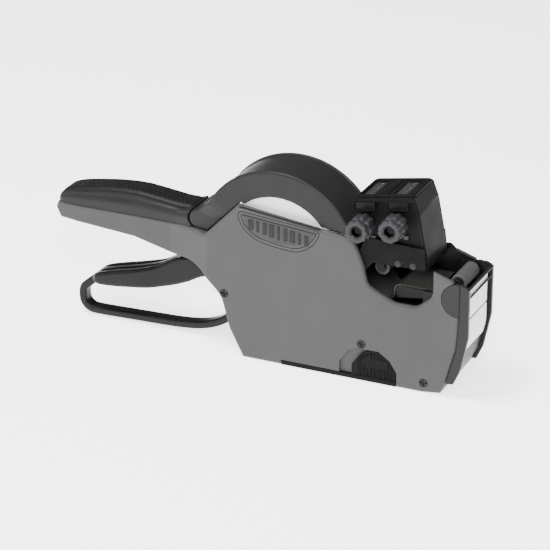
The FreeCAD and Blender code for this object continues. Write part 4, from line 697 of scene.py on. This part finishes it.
def make_head_trim():
    """Brow over the knobs, a framed index box and a detent tab at each knob, the seam of the front cover,
    a rib and a rim on the top, and index marks in the windows."""
    low, high = in_mm("head_case")
    side = low[1]
    rear, front = low[0] + 0.8, 38.0
    front_top = high[2]
    rear_top = front_top - 5.2
    slope = (front_top - rear_top) / (front - rear)

    def top_at(x):
        return rear_top + slope * (x - rear)

    plate("head_brow", rounded([
        (rear, top_at(rear) - 2.0), (front + 0.6, top_at(front) - 2.6), (front, top_at(front) - 0.1),
        (rear + 0.6, top_at(rear) - 0.1)], 0.8), side - 2.2, side + 0.6, 0.5, "head_plastic", "print_head")
    for name in ("rear", "front"):
        knob_low, knob_high = in_mm(f"{name}_knob")
        x = (knob_low[0] + knob_high[0]) / 2 - 0.6
        lip = knob_high[2] + 0.45

        def sloped(half, low, high, shift=0.0, corner=0.3):
            """Box over the knob, leaning with the top; low and high are heights at its middle."""
            rise = slope * half
            return rounded([(x + shift - half, low - rise), (x + shift + half, low + rise),
                            (x + shift + half, high + rise), (x + shift - half, high - rise)], corner)

        top = top_at(x) - 1.6
        plate(f"{name}_index_box", sloped(5.2, lip + 0.6, top, corner=0.5),
              side - 1.6, side + 0.4, 0.3, "inner_plastic", "print_head")
        plate(f"{name}_index_lip", sloped(5.6, lip, lip + 0.8), side - 2.4, side + 0.2, 0.25,
              "head_plastic", "print_head")
        for edge, shift in (("rear", -5.4), ("front", 5.4)):
            rise = slope * shift
            plate(f"{name}_index_{edge}_jamb", sloped(0.45, lip + rise, top + rise, shift, 0.2),
                  side - 2.2, side + 0.2, 0.2, "head_plastic", "print_head")
        plate(f"{name}_detent_tab", rounded([
            (x + 3.4, knob_low[2] - 1.6), (x + 6.0, knob_low[2] - 1.6), (x + 6.0, knob_low[2] + 0.5),
            (x + 3.4, knob_low[2] + 0.5)], 0.3), side - 1.3, side + 0.2, 0.2, "knob_plastic", "print_head")
    # joint line between the case and its front cover, and the wide rib between the two windows
    seam = rounded([
        (front + 0.3, top_at(front) - 4.0), (front + 0.9, top_at(front) - 4.0), (43.4, low[2] + 14.0),
        (44.0, low[2] + 0.8), (43.3, low[2] + 0.8), (42.7, low[2] + 14.0)], 0.3)
    plate("head_front_seam", seam, side - 0.08, side + 0.3, 0.04, "inner_plastic", "print_head")
    ridge_x = 21.4
    plate("head_top_rib", rounded([
        (ridge_x - 2.4, top_at(ridge_x - 2.4) - 0.6), (ridge_x + 2.4, top_at(ridge_x + 2.4) - 0.6),
        (ridge_x + 1.9, top_at(ridge_x + 1.9) + 0.7), (ridge_x - 1.9, top_at(ridge_x - 1.9) + 0.7)], 0.5),
        -10.6, 10.6, 0.6, "head_plastic", "print_head")
    # rim: a rounded bead carried round the top's plan outline, following its slope
    half = high[1] - 0.9
    plan = rounded([(rear + 1.0, -half), (front - 0.6, -half), (front - 0.6, half), (rear + 1.0, half)], 2.2)
    normals = outward(plan)
    bead = 0.95
    turn = np.linspace(0, 2 * math.pi, 14, endpoint=False)
    rings = []
    for across, up in zip(bead * np.cos(turn), bead * np.sin(turn)):
        flat = plan + normals * across
        rings.append(np.stack([flat[:, 0], flat[:, 1], top_at(flat[:, 0]) - 0.1 + up], 1))
    put("head_top_rim", np.array(rings), "head_plastic", "print_head", looped=True)
    # white index marks under each lens, in one row
    for name in ("rear", "front"):
        lens_low, lens_high = in_mm(f"{name}_lens")
        x = (lens_low[0] + lens_high[0]) / 2 + 1.2
        for step in range(6):
            y = (step - 2.5) * 3.0
            z = top_at(x) - 0.75
            mark = rounded([(x - 0.6, z), (x + 0.6, z + slope * 1.2), (x + 0.6, z + 0.3 + slope * 1.2),
                            (x - 0.6, z + 0.3)], 0.1)
            plate(f"{name}_index_mark_{step}", mark, y - 0.22, y + 0.22, 0.06, "label_paper", "print_head")


# ---- labels ---------------------------------------------------------------------------------

def make_label_strip():
    """Labels on the nose: two sheets that follow the door's face, 0.4 mm apart at the die-cut line."""
    low, high = in_mm("label_strip")
    face = high[0] - 0.25
    line = through([(face - 1.5, low[2] + 0.1), (face - 0.3, low[2] + 5.0), (face, low[2] + 9.0),
                    (face, low[2] + 14.0), (face, high[2] - 6), (face, high[2])], 120)
    cut, half_gap, thick, half = 42.0, 0.2, 0.4, high[1]
    lower = line[line[:, 1] < cut - half_gap]
    upper = line[line[:, 1] > cut + half_gap]
    band("label_lower", lower, half, thick, "label_paper", "front_door", ["label_strip"], power=12)
    band("label_upper", upper, half, thick, "label_paper", "front_door", power=12)


def make_gap_shade_plate():
    """Dark plate that closes the print gap on the far side, up to the inside of the nose; its near-black
    colour is painted shade for the shaded inside of the nose.
    """
    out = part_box("left_shell")[1][1] / MM
    shade_plate_outline = rounded([(15.5, 53), (20, 44), (46, 44), (52, 50), (60, 57), (61.0, 62.2), (50.2, 65.6),
                     (47.2, 68.4), (44.0, 68.0), (40.5, 60.5), (30, 57.5), (16.5, 59)], 1.2)
    # near-black plate: painted shade for the dark inside of the nose behind the print gap
    plate("far_gap_shade_plate", shade_plate_outline, out - 2.02, out - 0.25, 0.3, "inner_plastic", "housing")


make_trigger()
make_handle_cap()
make_grip()
make_arch()
for knob in ("rear_knob", "front_knob"):
    make_knob(knob)
make_applicator()
make_badge()
make_latch()
make_head_trim()
make_label_strip()
make_gap_shade_plate()

# ---- floor, light, camera ----------------------------------------------------

def make_floor():
    """Wide pale floor, a shallow flat sheet under the object."""
    half = 3.0
    corners = np.array([[-half, -half, 0], [half, -half, 0], [half, half, 0], [-half, half, 0]])
    mesh = bpy.data.meshes.new("floor")
    mesh.from_pydata(corners.tolist(), [], [(0, 1, 2, 3)])
    floor = bpy.data.objects.new("floor", mesh)
    bpy.context.scene.collection.objects.link(floor)
    mesh.materials.append(new_material(
        "pale_floor", Roughness=0.6, Base_Color=linear("#fafafa"), Emission_Color=(1, 1, 1, 1),
        Emission_Strength=2.4)[0])


def area_light(name, place, aim, size, watts):
    """A square soft box at place that shines towards aim."""
    lamp = bpy.data.lights.new(name, "AREA")
    lamp.size = size
    lamp.energy = watts
    holder = bpy.data.objects.new(name, lamp)
    holder.location = place
    holder.rotation_euler = (Vector(aim) - Vector(place)).to_track_quat("-Z", "Y").to_euler()
    bpy.context.scene.collection.objects.link(holder)


make_floor()
centre = Vector((-0.042, 0, 0.041))
soft_box = 0.4
area_light("key", (0.35, -1.0, 0.8), centre, soft_box, 20)
area_light("top", (-0.35, -0.25, 1.2), centre, soft_box, 26)
area_light("fill", (-1.2, -0.5, 0.7), centre, soft_box, 6)

world = bpy.data.worlds.new("studio")
world.use_nodes = True
world.node_tree.nodes["Background"].inputs["Color"].default_value = (1, 1, 1, 1)
world.node_tree.nodes["Background"].inputs["Strength"].default_value = 0.25
bpy.context.scene.world = world

camera = bpy.data.objects.new("camera", bpy.data.cameras.new("camera"))
camera.data.sensor_width = 36.0
camera.data.lens = 170.2
azimuth, elevation, distance = math.radians(24.5), math.radians(23.9), 1.33
back = Vector((math.sin(azimuth) * math.cos(elevation), -math.cos(azimuth) * math.cos(elevation),
               math.sin(elevation)))
camera.location = centre + back * distance
camera.rotation_euler = (-back).to_track_quat("-Z", "Y").to_euler()
camera.data.clip_start, camera.data.clip_end = 0.05, 20.0
bpy.context.scene.collection.objects.link(camera)
bpy.context.scene.camera = camera
